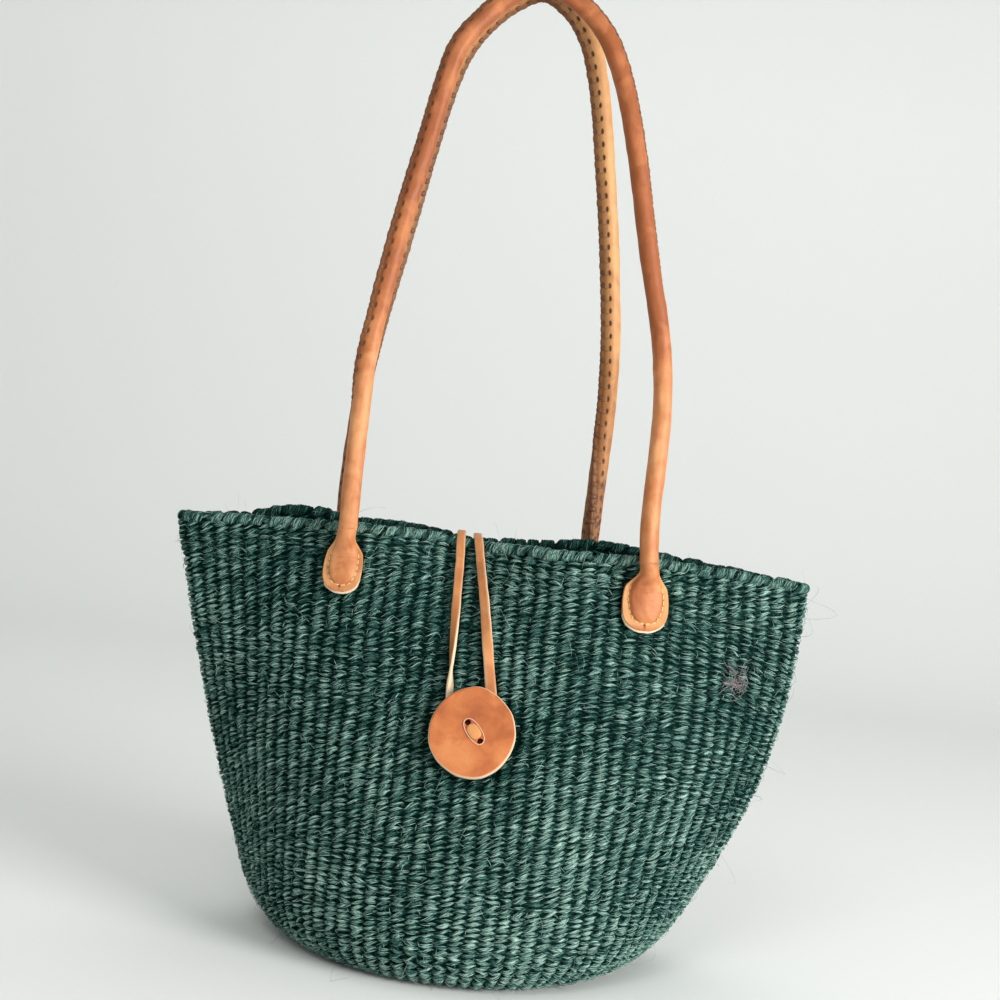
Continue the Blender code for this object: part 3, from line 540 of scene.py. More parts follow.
class Nodes:
    """Short calls for building a material's nodes."""

    def __init__(self, name):
        self.material = bpy.data.materials.new(name)
        self.material.use_nodes = True
        self.tree = self.material.node_tree
        self.shader = self.tree.nodes["Principled BSDF"]

    def add(self, kind, links=None, **settings):
        """A node with these settings, its inputs linked or set."""
        node = self.tree.nodes.new(kind)
        for key, value in settings.items():
            setattr(node, key, value)
        for key, value in (links or {}).items():
            if isinstance(value, bpy.types.NodeSocket):
                self.tree.links.new(value, node.inputs[key])
            else:
                node.inputs[key].default_value = value
        return node

    def math(self, operation, *values, clamp=False):
        """What a math node gives."""
        node = self.add("ShaderNodeMath", dict(enumerate(values)), operation=operation)
        node.use_clamp = clamp
        return node.outputs[0]

    def plus(self, total, *more):
        """The sum of the values."""
        for value in more:
            total = self.math("ADD", total, value)
        return total

    def times(self, a, b):
        """The product of two values."""
        return self.math("MULTIPLY", a, b)

    def number(self, name):
        """A number kept at the mesh's points."""
        return self.add("ShaderNodeAttribute", attribute_name=name).outputs["Fac"]

    def vector(self, name):
        """A vector kept at the mesh's points."""
        return self.add("ShaderNodeAttribute", attribute_name=name).outputs["Vector"]

    def place(self):
        """Where a point lies in its object."""
        return self.add("ShaderNodeTexCoord").outputs["Object"]

    def scaled(self, vector, scale):
        """A vector with its three parts scaled."""
        node = self.add("ShaderNodeMapping", {"Vector": vector, "Scale": scale})
        return node.outputs[0]

    def noise(self, vector, scale, detail=2.0, roughness=0.5, distortion=0.0):
        """Noise at a vector, from 0 to 1."""
        node = self.add("ShaderNodeTexNoise", {
            "Vector": vector, "Scale": scale, "Detail": detail, "Roughness": roughness,
            "Distortion": distortion})
        return node.outputs["Fac"]

    def ramp(self, factor, stops):
        """A colour by a factor, from places and colours."""
        node = self.add("ShaderNodeValToRGB", {0: factor})
        elements = node.color_ramp.elements
        while len(elements) < len(stops):
            elements.new(0.5)
        for element, (place, colour) in zip(elements, stops):
            element.position = place
            element.color = (*colour, 1.0)
        return node.outputs[0]

    def mix(self, factor, a, b, blend="MIX"):
        """Two colours mixed by a factor."""
        node = self.add("ShaderNodeMix", data_type="RGBA", blend_type=blend)
        for socket, value in ((node.inputs[0], factor), (node.inputs[6], a),
                              (node.inputs[7], b)):
            if isinstance(value, bpy.types.NodeSocket):
                self.tree.links.new(value, socket)
            elif isinstance(value, tuple):
                socket.default_value = (*value, 1.0)
            else:
                socket.default_value = value
        return node.outputs[2]

    def rescale(self, value, low, high, to_low, to_high):
        """A value clamped to one range and stretched over another."""
        node = self.add("ShaderNodeMapRange", {0: value, 1: low, 2: high, 3: to_low,
                                               4: to_high})
        return node.outputs[0]

    def bump(self, height, distance, strength):
        """Normals tilted by a height."""
        links = {"Height": height, "Distance": distance, "Strength": strength}
        return self.add("ShaderNodeBump", links).outputs[0]

    def finish(self, colour, roughness, normal=None, **sockets):
        """Sets the shader's inputs and gives the material."""
        self.tree.links.new(colour, self.shader.inputs["Base Color"])
        if isinstance(roughness, bpy.types.NodeSocket):
            self.tree.links.new(roughness, self.shader.inputs["Roughness"])
        else:
            self.shader.inputs["Roughness"].default_value = roughness
        if normal:
            self.tree.links.new(normal, self.shader.inputs["Normal"])
        for key, value in sockets.items():
            self.shader.inputs[key.replace("_", " ")].default_value = value
        return self.material


def sisal_material(name, dark, middle, light):
    """Dyed sisal: fibres along each strand, paler on the crests by wear and painted highlight,
    and darker in the hollows between strands by painted shade.
    """
    n = Nodes(name)
    fibre, tone, crest = n.vector("fibre"), n.number("tone"), n.number("crest")
    streak = n.noise(n.scaled(fibre, (150.0, 1500.0, 1500.0)), 1.0)
    fine = n.noise(n.scaled(fibre, (420.0, 4200.0, 4200.0)), 1.0)
    patch = n.noise(n.place(), 26.0)
    level = n.rescale(streak, 0.33, 0.67, -0.36, 0.36)
    for part, weight in ((n.rescale(fine, 0.35, 0.65, -0.5, 0.5), 0.42), (crest, 0.44),
                         (tone, 0.24), (n.rescale(patch, 0.3, 0.7, -0.5, 0.5), 0.16)):
        level = n.plus(level, n.times(part, weight))
    level = n.rescale(level, -0.09, 0.98, 0.0, 1.0)
    low = tuple(0.42 * m + 0.02 * d for m, d in zip(middle, dark))
    colour = n.ramp(level, [(0.0, dark), (0.12, low), (0.405, middle), (1.0, light)])
    normal = n.bump(n.plus(streak, n.times(fine, 0.5)), 0.6 * MM, 0.9)
    return n.finish(colour, 0.7, normal, Specular_IOR_Level=0.03)


# Weave

def ribs_at(radius):
    """How many ribs a row at this distance from the middle has; ribs are added outwards."""
    halved = sum(radius <= limit for limit in FEW_RIBS_RADII)
    return RIBS // 2 ** halved - (halved == 3)


WOBBLE_U = smooth_noise(46, 14, 1)
WOBBLE_V = smooth_noise(30, 12, 2)
SWELL = smooth_noise(34, 12, 3)
PATCHES = smooth_noise(24, 10, 4)
SLANTS = smooth_noise(9, 9, 5)


def warp(u, v):
    """Hand-made unevenness: shifts along and up the wall, and out of it, in metres."""
    fade = np.clip((v - 0.1) / 0.15, 0, 1) * np.clip((1.0 - v) / 0.03, 0, 1)
    return (WANDER_ALONG * WOBBLE_U(u, v) * fade, WANDER_UP * WOBBLE_V(u, v) * fade,
            WANDER_OUT * SWELL(u, v) * fade)


def row_height(row):
    """Height of a row, as a share of the way up; rows are closer together low down."""
    share = (row + 0.5) / ROWS
    return share * (LOW_PITCH + PITCH_GROWTH * share)


def painted_contact_shade(points):
    """How close points of the front wall lie to the leather that rests on it: 1 beside it,
    falling to 0 a few millimetres off. The weave is darkened there by painted contact shade,
    and the button's circle is moved right and down for its shadow."""
    x, z = points[..., 0], points[..., 2]
    gap = np.hypot(x - EYE_SHIFT[0], z - BUTTON_HEIGHT + BUTTON_SHADOW_DROP) - BUTTON_RADIUS
    for leg in (-1, 1):
        width, length = TABS[FRONT, leg]
        middle_x = OUTLINES[FRONT][0, 1 if leg < 0 else 2]
        middle_z = HINGE_HEIGHT - HANDLE_RADIUS - length / 2
        ring = np.hypot((x - middle_x) / (width / 2), (z - middle_z) / (length / 2))
        gap = np.minimum(gap, (ring - 1) * width / 2)
        top, low = thong_x(leg, 0.0), thong_x(leg, 1.0)
        share = (RIM_HEIGHT - z) / (RIM_HEIGHT - LOOP_TURN_HEIGHT)
        strand = np.abs(x - top - (low - top) * share) - THONG_WIDTH / 2
        gap = np.minimum(gap, np.where(z > BUTTON_HEIGHT, strand, 1.0))
    near = np.exp(-(np.maximum(0.0, gap) / SHADE_REACH) ** 2)
    return np.where(points[..., 1] < 0, near, 0.0)


class Strand:
    """One of the two strands that twine along a row: its centre line with its frame, half
    width and half thickness, how far out each point lies, and its tone."""

    def __init__(self, row, strand, pitch):
        v_row = row_height(row)
        base_point, _ = SURFACE.at(np.array([0.0]), np.array([v_row]))
        radius = float(np.linalg.norm(base_point[0, :2])) if v_row < 0.3 else BASE_RADIUS
        self.v, self.ribs = v_row, ribs_at(radius)
        count = self.ribs * PER_STITCH
        self.index = np.arange(count)
        u = (self.index / PER_STITCH + 0.5) / self.ribs
        rows_here = np.full(count, v_row)
        phase = math.pi * (self.index / PER_STITCH + strand)
        self.rng = np.random.default_rng(1000 + row * 2 + strand)
        size, lift, skew, tone, drop = (
            self.per_stitch(v) for v in self.rng.normal(0, 1, (5, self.ribs)))
        slant = self.slant(row, u, rows_here)
        shift_u, shift_v, shift_n = warp(u, rows_here)
        self.crest = np.cos(phase)
        vertical = ((STITCH_LEAN * slant + 0.45 * MM * skew) * np.sin(phase)
                    + 0.30 * MM * drop)
        depth = (STITCH_DEPTH + 0.26 * MM * lift) * self.crest + shift_n
        point, normal = SURFACE.at(u + shift_u / max(2 * math.pi * radius, 0.02),
                                   v_row + (shift_v + vertical) / SURFACE.total(u))
        self.centre = point + normal * (depth - WALL / 2)[:, None]
        tangent = unit(np.roll(self.centre, -1, 0) - np.roll(self.centre, 1, 0))
        self.out = square_to(normal, tangent)
        self.side = np.cross(tangent, self.out)
        high = np.abs(self.crest) ** 1.1
        pitch = pitch * (0.92 + 0.16 * v_row)
        self.wide = pitch / 2 * (0.34 + 0.56 * high) * np.clip(1 + 0.17 * size, 0.6, 1.5)
        self.thick = (STITCH_THIN + STITCH_THICKENS * high) * (1 + 0.08 * size)
        # Tone: random per stitch and in patches, with painted light and shade: darker beside
        # the leather by painted contact shade, lighter on the lower rows and darker high up,
        # and darker in a spot of painted shade left of the thong.
        self.tone = (tone * 0.30 + 0.45 * PATCHES(u, rows_here)
                     - 1.25 * painted_contact_shade(self.centre)
                     + 0.25 * np.clip((0.58 - v_row) / 0.2, -1, 1)
                     - 0.45 * self.painted_shade_spot())
        self.jump = (row * 0.031 + strand * 0.37) % 1.0

    def painted_shade_spot(self):
        """1 in the middle of a stretch of painted shade, high on the front left of the thong.
        """
        x, z = self.centre[:, 0] - SHADE_SPOT_MIDDLE[0], self.centre[:, 2] - SHADE_SPOT_MIDDLE[1]
        spot = np.exp(-(x / SHADE_SPOT_REACH[0]) ** 2 - (z / SHADE_SPOT_REACH[1]) ** 2)
        return np.where(self.centre[:, 1] < 0, spot, 0.0)

    def per_stitch(self, values):
        """A value for each stitch, blended from one stitch into the next."""
        centre = (self.index + PER_STITCH / 2) / PER_STITCH
        i = np.floor(centre).astype(int) % self.ribs
        near = 0.5 - np.abs((centre % 1.0) - 0.5)
        other = np.where((centre % 1.0) > 0.5, (i + 1) % self.ribs, (i - 1) % self.ribs)
        return values[i] * (0.5 + near) + values[other] * (0.5 - near)

    def slant(self, row, u, rows_here):
        """How steeply the stitches lean: one way high up, herringbone low down."""
        above = np.clip((self.v - 0.30) / 0.12, 0, 1)
        herring = (-1.0) ** row * (0.45 + 0.5 * SLANTS(u, rows_here))
        leaning = np.clip(0.70 + 1.2 * SLANTS(u, rows_here) + 0.3 * self.rng.normal(),
                          -0.7, 1.25)
        return herring * (1 - above) + leaning * above

    def surface(self, i, angle, out_by):
        """Points at an angle round the strand, and the outward direction at each."""
        cos, sin = np.cos(angle)[..., None], np.sin(angle)[..., None]
        thick, wide = self.thick[i][..., None], self.wide[i][..., None]
        hint = self.out[i] * cos + self.side[i] * sin
        return (self.centre[i] + (self.out[i] * thick * cos + self.side[i] * wide * sin)
                * out_by[..., None]), hint

    def tube(self):
        """The strand's mesh points with the fibres' coordinates, tone, and wear with painted
        highlight and shade.
        """
        angle = 2 * math.pi * np.arange(SIDES) / SIDES
        ridged = 1.0 - 0.13 * (np.arange(SIDES) % 2)
        i = np.repeat(self.index[:, None], SIDES, 1)
        turns = np.broadcast_to(angle, i.shape)
        points, _ = self.surface(i, turns, np.broadcast_to(ridged, i.shape))
        points[..., 2] = np.maximum(points[..., 2], 0.05 * MM)
        step = np.linalg.norm(np.roll(self.centre, -1, 0) - self.centre, axis=1)
        along = np.cumsum(step)[:, None]
        local = angle + along * STRAND_TWIST
        fibre = np.stack([along + self.jump + 0 * local,
                          np.cos(local) * self.wide[:, None] + self.jump,
                          np.sin(local) * self.wide[:, None]], -1)
        facing = np.cos(angle)[None]
        crest = self.crest[:, None]
        # Paler on the outer crests and their outward faces, by wear and painted highlight;
        # darker on the strand's sides and in the hollows by painted shade; the inner crests
        # less pale, for the inside's painted shade.
        wear_and_shade = (np.maximum(0, crest) ** 1.5 * (0.35 + 0.65 * np.maximum(0, facing))
                + 0.45 * np.maximum(0, -crest) * np.maximum(0, -facing))
        return points, fibre, self.tone[:, None] + 0 * wear_and_shade, wear_and_shade

    def laid_fibres(self, per_stitch):
        """Paths of the fibres that lie along the outer crests, their outward directions
        and tones."""
        if self.v < LAID_FROM:
            return None
        crests = np.flatnonzero(self.crest > 0.99)
        crests = np.repeat(crests, per_stitch)
        rng, n = self.rng, len(crests)
        middle = crests + rng.integers(-1, 2, n)
        steps = np.arange(-2, 3)
        i = (middle[:, None] + steps[None]) % len(self.index)
        drift = rng.normal(0, 0.38, n) * (1 + (rng.random(n) < 0.2))
        angle = rng.uniform(-1.2, 1.2, n)[:, None] + drift[:, None] * steps[None] / 2
        sink = rng.uniform(0.0, 0.35, (n, 1)) * (np.abs(steps) / 2)[None] ** 3
        out_by = 1.0 + rng.uniform(0.02, 0.22, (n, 1)) - sink
        paths, hints = self.surface(i, angle, out_by)
        return paths, hints, self.tone[middle % len(self.index)] + rng.normal(0.25, 1.3, n)


def make_weave(material):
    """All rows, as closed strands, in pieces of a bounded number of faces."""
    pitch = float(SURFACE.length.mean()) / ROWS
    pieces, part, laid = [], [], []
    for row in range(1, ROWS):
        strands = [Strand(row, strand, pitch) for strand in (0, 1)]
        part += [strand.tube() for strand in strands]
        laid += [strand.laid_fibres(4) for strand in strands]
        if sum(p[0].shape[0] * SIDES * 2 for p in part) > MOST_FACES or row == ROWS - 1:
            pieces.append(part)
            part = []
    for number, part in enumerate(pieces):
        quads, start = [], 0
        for points, *_ in part:
            quads.append(grid_quads(points.shape[0], SIDES, True, True, start))
            start += points.shape[0] * SIDES
        points, *values = (np.concatenate(rows) for rows in zip(*part))
        nodes = ["woven_basket"] if number == 0 else []
        sisal_piece(f"weave_{number + 1:02d}", points, np.concatenate(quads), material,
                    *values, *nodes)
    make_laid_fibres(material, [fibres for fibres in laid if fibres])


def make_laid_fibres(material, laid):
    """The single fibres that lie over the stitches, in pieces of a bounded size."""
    paths, hints, tones = (np.concatenate([fibres[k] for fibres in laid]) for k in range(3))
    rng = np.random.default_rng(12)
    wide = rng.uniform(*FINE_HALF_WIDTHS, (len(paths), 1))
    wide = wide * np.array([0.5, 0.9, 1.0, 0.9, 0.5])
    for number, first in enumerate(range(0, len(paths), MOST_FIBRES)):
        chosen = slice(first, first + MOST_FIBRES)
        points, quads, turned = sweep(paths[chosen], hints[chosen], wide[chosen],
                                      wide[chosen] * 0.6, 4)
        points[..., 2] = np.maximum(points[..., 2], 0.0)
        fibre = fibre_along(paths[chosen], wide[chosen], turned, 0.1 * number)
        # Painted shade: the fibres' ends, which sink into the stitch, are darker.
        wear_and_shade = np.array([0.55, 0.85, 1.0, 0.85, 0.55])[:, None]
        sisal_piece(f"weave_fibres_{number + 1:02d}", points, quads, material, fibre,
                    tones[chosen, None, None], wear_and_shade)


def make_ribs(material):
    """The rib cords that the rows are twined over, which show only in the gaps."""
    count = 84
    paths, hints = [], []
    for rib in range(RIBS):
        first = 0.165 if rib % 2 else (0.085 if rib % 4 else 0.01)
        v = np.linspace(first, 0.998, count)
        u = np.full(count, (rib + 0.5) / RIBS)
        shift_u, _, shift_n = warp(u, v)
        point, normal = SURFACE.at(u + shift_u / (2 * math.pi * BASE_RADIUS), v)
        paths.append(point + normal * (shift_n - WALL / 2)[:, None])
        hints.append(normal)
    paths, hints = np.stack(paths), np.stack(hints)
    wide = np.full(paths.shape[:2], RIB_HALF_WIDTH)
    points, quads, angle = sweep(paths, hints, wide, wide * 0.7, 6)
    # Painted shade: a low tone and no crest keep the ribs dark where they show in the gaps.
    sisal_piece("weave_ribs", points, quads, material, fibre_along(paths, wide, angle),
                -0.4, 0.0)


def make_shaded_filling(material):
    """A thin closed shell in the middle of the weave, for the sisal that fills every gap; its
    dark tone is painted shade.
    """
    turns, rows, top = 176, 110, 1.016
    u = np.arange(turns) / turns
    sheets = []
    for depth in (WALL / 2 - FILLING_HALF_THICKNESS, WALL / 2 + FILLING_HALF_THICKNESS):
        rings = []
        for v in np.linspace(0.004, top, rows):
            level = np.minimum(v, top - pressed(SURFACE.at(u, 1.0 + 0 * u)[0][:, 0]) / 0.3)
            point, normal = SURFACE.at(u, level)
            rings.append(point - normal * (depth - warp(u, level)[2])[:, None])
        sheets.append(np.stack(rings))
    points = np.concatenate([sheets[0], sheets[1][::-1]])
    sisal_piece("weave_filling_shade", points, grid_quads(2 * rows, turns, True, True), material,
                points * 0.4, -1.2, 0.0)


def rim_back_shade(points):
    """0 on the front of the rim and at its ends, and 1 on its back, where the rim is darkened
    by painted shade.
    """
    return np.clip((points[..., 1] - RIM_BACK_START) / RIM_BACK_REACH, 0, 1)[..., None]


def make_rim(material):
    """The finished edge: sisal wound round and round it, and the fibres on the wraps."""
    per_wrap = 14
    count = RIBS * per_wrap
    rng = np.random.default_rng(31)
    turn = np.arange(count + 1) / per_wrap
    around = (turn / RIBS) % 1.0
    shift = smooth_noise(RIBS, 2, 32)(around, 0 * turn) * 0.24
    centre, outward = rim_line(around)
    centre[:, 2] += WRAP_RISE * smooth_noise(RIBS, 2, 33)(around, 0 * turn)
    phase = 2 * math.pi * (turn + shift)
    away = outward * np.cos(phase)[:, None]
    away[:, 2] += np.sin(phase)
    paths, hints = (centre + away * WRAP_REACH)[None], away[None]
    swell = rng.normal(0, 0.15, RIBS)
    bump = np.interp(turn, np.arange(RIBS + 1), np.append(swell, swell[0]))[None]
    wide, thick = WRAP_WIDE * (1 + bump), WRAP_THICK * (1 + 0.6 * bump)
    points, quads, turned = sweep(paths, hints, wide, thick, 16)
    ridged = 1.0 - 0.10 * (np.arange(16) % 2)
    points = paths[:, :, None] + (points - paths[:, :, None]) * ridged[:, None]
    back = rim_back_shade(paths)
    # Painted shade: the wraps' sides and the back of the rim are darker, and the front is
    # darker beside the leather by painted contact shade; the crests are paler by wear and
    # painted highlight.
    wear_and_shade = 0.80 * np.cos(turned) ** 2 * (1 - 0.35 * back)
    tone = 2.0 * bump[..., None] + 0.1 - 0.7 * back - painted_contact_shade(centre)[None, :, None]
    sisal_piece("rim_wraps", points, quads, material,
                fibre_along(paths, wide, turned, 0.4), tone, wear_and_shade, "rim_braid")
    make_rim_fibres(material, rng, paths[0], hints[0], wide[0], thick[0])


def make_rim_fibres(material, rng, path, out, wide, thick):
    """The single fibres that lie on the rim's wraps."""
    laid = RIBS * 34
    steps = np.arange(6)
    i = rng.integers(0, len(path) - 7, (laid, 1)) + steps[None]
    angle = rng.uniform(-1.25, 1.25, (laid, 1)) + rng.normal(0, 0.20, (laid, 1)) * steps[None]
    centres, hint = path[i], out[i]
    side = np.cross(unit(np.gradient(centres, axis=1)), hint)
    over = rng.uniform(1.0, 1.10, (laid, 1)) - rng.uniform(0, 0.2, (laid, 1)) * (
        np.abs(steps - 2.5) / 2.5)[None] ** 3
    fine = centres + (hint * (np.cos(angle) * thick[i] * over)[..., None]
                      + side * (np.sin(angle) * wide[i] * over)[..., None])
    thin = rng.uniform(*FINE_HALF_WIDTHS, (laid, 1)) * np.array([0.5, 0.9, 1, 1, 0.9, 0.5])
    points, quads, turned = sweep(fine, hint, thin, thin * 0.6, 4)
    back = rim_back_shade(fine)
    # Painted shade: the fibres are darker at the back of the rim and beside the leather.
    tone = rng.normal(0.2, 0.9, (laid, 1, 1)) - 1.1 * back - painted_contact_shade(fine)[..., None]
    sisal_piece("rim_fibres", points, quads, material, fibre_along(fine, thin, turned, 0.7),
                tone, 0.9 - 0.35 * back)


def make_fuzz(material, count=8500):
    """Short fibres that cross from stitch to stitch, close on the weave."""
    rng = np.random.default_rng(45)
    steps = 5
    t = np.linspace(0, 1, steps)[None]
    length = rng.uniform(*FUZZ_LENGTHS, (count, 1))
    heading = rng.normal(0, 0.70, (count, 1)) + rng.normal(0, 0.5, (count, 1)) * t
    run = length / steps
    u = rng.uniform(0, 1, (count, 1)) + np.cumsum(np.cos(heading), 1) * run / TURN_LENGTH
    v = rng.uniform(0.17, 0.99, (count, 1)) + np.cumsum(np.sin(heading), 1) * run / RISE_LENGTH
    point, normal = SURFACE.at(u, np.clip(v, 0, 1))
    rise = rng.uniform(0.35, 1.15, (count, 1)) * np.sin(math.pi * (0.12 + 0.76 * t))
    paths = point + normal * ((0.15 + rise) * MM)[..., None]
    paths[..., 2] = np.maximum(paths[..., 2], LOWEST)
    wide = rng.uniform(*FUZZ_HALF_WIDTHS, (count, 1)) * np.array([0.6, 0.9, 1.0, 0.9, 0.5])
    # Painted contact shade: the fuzz is darker beside the leather.
    tone = (rng.normal(0.45, 0.8, (count, 1)) - 1.2 * painted_contact_shade(paths[:, 2:3]))[:, :, None]
    per_piece = 5000
    for number, first in enumerate(range(0, count, per_piece)):
        chosen = slice(first, first + per_piece)
        points, quads, turned = sweep(paths[chosen], normal[chosen] + 0.01, wide[chosen],
                                      wide[chosen], 4)
        sisal_piece(f"weave_fuzz_{number + 1}", points, quads, material,
                    fibre_along(paths[chosen], wide[chosen], turned), tone[chosen], 0.8)


def make_fibres(material, count=900):
    """Loose ends of sisal that stand off the weave."""
    rng = np.random.default_rng(77)
    steps = 9
    paths, hints = [], []
    for i in range(count):
        near_rim = i % 4 == 0
        v0 = rng.uniform(0.93, 0.995) if near_rim else rng.uniform(0.22, 0.97)
        u0 = rng.normal(0, 0.03) if i % 9 == 0 else rng.uniform(0, 1)
        length = rng.uniform(*LOOSE_LENGTHS) * (1.8 if rng.random() < 0.06 else 1.0)
        heading = rng.uniform(0, 2 * math.pi)
        curl = rng.normal(0, 1.1)
        t = np.linspace(0, 1, steps)
        turn = heading + curl * t
        du = np.cumsum(np.cos(turn)) * length / steps
        dv = np.cumsum(np.sin(turn)) * length / steps
        reach = SURFACE.total(np.array([u0]))[0]
        v = v0 + dv / reach
        point, normal = SURFACE.at(u0 + du / TURN_LENGTH, np.clip(v, 0, 1))
        off = np.abs(rng.normal(0, 1)) * (0.16 if rng.random() < 0.8 else 0.5) * length
        path = point + normal * (0.3 * MM + off * np.sin(t * math.pi * rng.uniform(0.5, 1))
                                 [:, None])
        path[:, 2] += np.maximum(0, v - 1) * reach + (5 * MM * t if near_rim else 0)
        path[:, 2] = np.maximum(path[:, 2], LOWEST)
        path[:, 1] = np.clip(path[:, 1], cad_low[1] - LOOSE_STRAY, cad_high[1] + LOOSE_STRAY)
        paths.append(path)
        hints.append(normal + 0.01)
    paths, hints = np.stack(paths), np.stack(hints)
    wide = np.linspace(1, 0.4, steps)[None] * rng.uniform(*LOOSE_HALF_WIDTHS, (count, 1))
    points, quads, turned = sweep(paths, hints, wide, wide, 4)
    sisal_piece("loose_fibres", points, quads, material, fibre_along(paths, wide, turned),
                rng.normal(0.9, 0.6, count)[:, None, None], 0.8)


def make_lint(material):
    """A little tuft of pale lint that has caught on the weave, high on the right."""
    rng = np.random.default_rng(19)
    count, steps = 90, 7
    middle = np.array(wall_spot(0.1495, 0.178, FRONT))
    t = np.linspace(0, 1, steps)[None, :, None]
    heading = rng.uniform(0, 2 * math.pi, (count, 1, 1)) + rng.normal(0, 1.6, (count, 1, 1)) * t
    reach = rng.uniform(3, 9, (count, 1, 1)) * MM / steps
    run = np.concatenate([np.cos(heading), np.sin(heading)], 2) * reach
    flat = np.cumsum(run, axis=1) + rng.normal(0, 3.4, (count, 1, 2)) * (1.0, 1.2) * MM
    lift = (1.0 + 0.9 * rng.random((count, 1, 1)) * np.sin(math.pi * t)) * MM
    paths = apply(middle, np.concatenate([flat, lift], 2))
    hints = np.tile(middle[:3, 2], (count, steps, 1))
    wide = np.full((count, steps), 0.09 * MM)
    points, quads, turned = sweep(paths, hints, wide, wide, 4)
    obj = add_mesh("lint", points, quads, material, {
        "fibre": fibre_along(paths, wide, turned), "tone": 0.0, "crest": 0.7})
    finish_piece(obj, "basket", "raw_leather")


def build_basket():
    """The woven wall, its rim and its loose fibres."""
    sisal = sisal_material("sisal_weave", (0.0010, 0.0115, 0.0088), (0.033, 0.114, 0.094),
                           (0.470, 0.670, 0.570))
    make_shaded_filling(sisal)
    make_weave(sisal)
    make_ribs(sisal)
    make_rim(sisal)
    make_fuzz(sisal)
    make_fibres(sisal)
    make_lint(sisal_material("pale_lint", (0.22, 0.18, 0.18), (0.42, 0.34, 0.35),
                             (0.75, 0.66, 0.66)))


# Leather

def leather_material(name, dark, middle, light, raw=(0.80, 0.62, 0.42), rail=None,
                     mottle=1.0):
    """Vegetable-tanned leather: soft mottling, pores and pale raw cuts. On a handle also the
    slots, creases and dark ridge of its laced seam, with painted shade in the slots, creases
    and notches, and the paddles' golden margins. There rail is painted light: how much paler
    the leather is at mid-leg, near the hinge and on the paddle."""
    n = Nodes(name)
    place = n.place()
    cloud = n.noise(place, 75.0, detail=3.0, distortion=0.6)
    broad = n.noise(place, 18.0)
    fine = n.noise(place, 900.0, detail=3.0)
    pores = n.add("ShaderNodeTexVoronoi", {"Vector": place, "Scale": 1500.0},
                  feature="F1").outputs["Distance"]
    mean = 0.65
    level = n.plus(n.times(cloud, 0.70), n.times(broad, 0.6))
    level = n.plus(n.times(n.math("SUBTRACT", level, mean), mottle), mean)
    level = n.plus(level, n.times(fine, 0.12))
    if rail:
        streak = n.noise(n.scaled(n.vector("rail"), (14.0, 130.0, 130.0)), 1.0)
        level = n.plus(level, n.times(n.math("SUBTRACT", streak, 0.5), 0.45))
        level = n.plus(level, painted_light_along(n, *rail))
    level = n.rescale(level, 0.42, 0.98, 0.0, 1.0)
    colour = n.ramp(level, [(0.0, dark), (0.5, middle), (1.0, light)])
    if rail:
        pale = n.rescale(cloud, 0.35, 0.65, 0.25, 0.75)
        colour = n.mix(n.times(n.number("margin"), pale), colour, (0.66, 0.345, 0.130))
        colour = seam_colours(n, colour, place, cloud)
    colour = n.mix(n.number("cut"), colour, raw)
    normal = n.bump(n.plus(n.times(pores, 0.5), n.times(fine, 0.7)), 0.25 * MM, 0.55)
    return n.finish(colour, n.rescale(cloud, 0.3, 0.7, 0.40, 0.56), normal,
                    Specular_IOR_Level=0.30)


def painted_light_along(n, upper, lower, paddle):
    """Painted light: how much paler the leather is along a handle, whose ends are 0.35 m from
    its top.
    """
    along = n.add("ShaderNodeSeparateXYZ", {0: n.vector("rail")})
    far = n.math("ABSOLUTE", along.outputs[0])
    leg = n.rescale(far, 0.20, 0.30, upper, lower)
    return n.plus(leg, n.rescale(far, 0.33, 0.36, 0.0, paddle - lower))


def seam_colours(n, colour, place, cloud):
    """The laced seam: dark slots each side of the ridge and a dark crease from each slot to the
    ridge, both painted shade, the ridge's own browning, darker still at the notches between its
    scallops by painted shade, and the flecks of a wrinkled stretch."""
    seam = n.add("ShaderNodeSeparateXYZ", {0: n.vector("seam")})
    along, beside, strength = seam.outputs
    wobble = n.times(n.math("SUBTRACT", n.noise(place, 130.0), 0.5), 1.6 * MM)
    turn = n.math("FRACT", n.plus(n.math("DIVIDE", along, SEAM_PITCH), 0.5))
    near = n.plus(n.times(n.math("SUBTRACT", turn, 0.5), SEAM_PITCH), wobble)
    tall = n.math("POWER", n.math("DIVIDE", near, SLOT_HALF_LENGTH), 2.0)
    across = n.math("DIVIDE", n.plus(beside, n.times(wobble, 0.4)), SLOT_HALF_WIDTH)
    slot = n.rescale(n.plus(tall, n.math("POWER", across, 2.0)), 0.55, 1.3, 1.0, 0.0)
    lean = n.plus(near, -1.2 * MM, n.times(beside, 0.22))
    line = n.rescale(n.math("ABSOLUTE", lean), 0.10 * MM, 0.60 * MM, 0.50, 0.0)
    inside = n.rescale(beside, -0.1 * MM, 0.3 * MM, 1.0, 0.0)
    notch = n.rescale(n.math("ABSOLUTE", near), 0.3 * MM, 1.5 * MM, 1.0, 0.72)
    between = n.times(inside, n.rescale(cloud, 0.35, 0.62, 0.15, 0.60))
    colour = n.mix(n.times(between, strength), colour, (0.215, 0.085, 0.030))
    dark = n.math("MAXIMUM", n.math("MAXIMUM", slot, n.times(line, inside)),
                  n.times(n.number("ridge"), notch))
    # This near-black brown is painted shade in the slots, creases and notches.
    colour = n.mix(n.math("MULTIPLY", dark, strength, clamp=True), colour,
                   (0.095, 0.031, 0.009))
    rough = n.scaled(n.vector("rail"), (330.0, 620.0, 620.0))
    fleck = n.rescale(n.noise(rough, 1.0), 0.50, 0.60, 0.0, 0.9)
    return n.mix(n.times(n.number("wrinkle_flecks"), fleck), colour, (0.085, 0.028, 0.010))


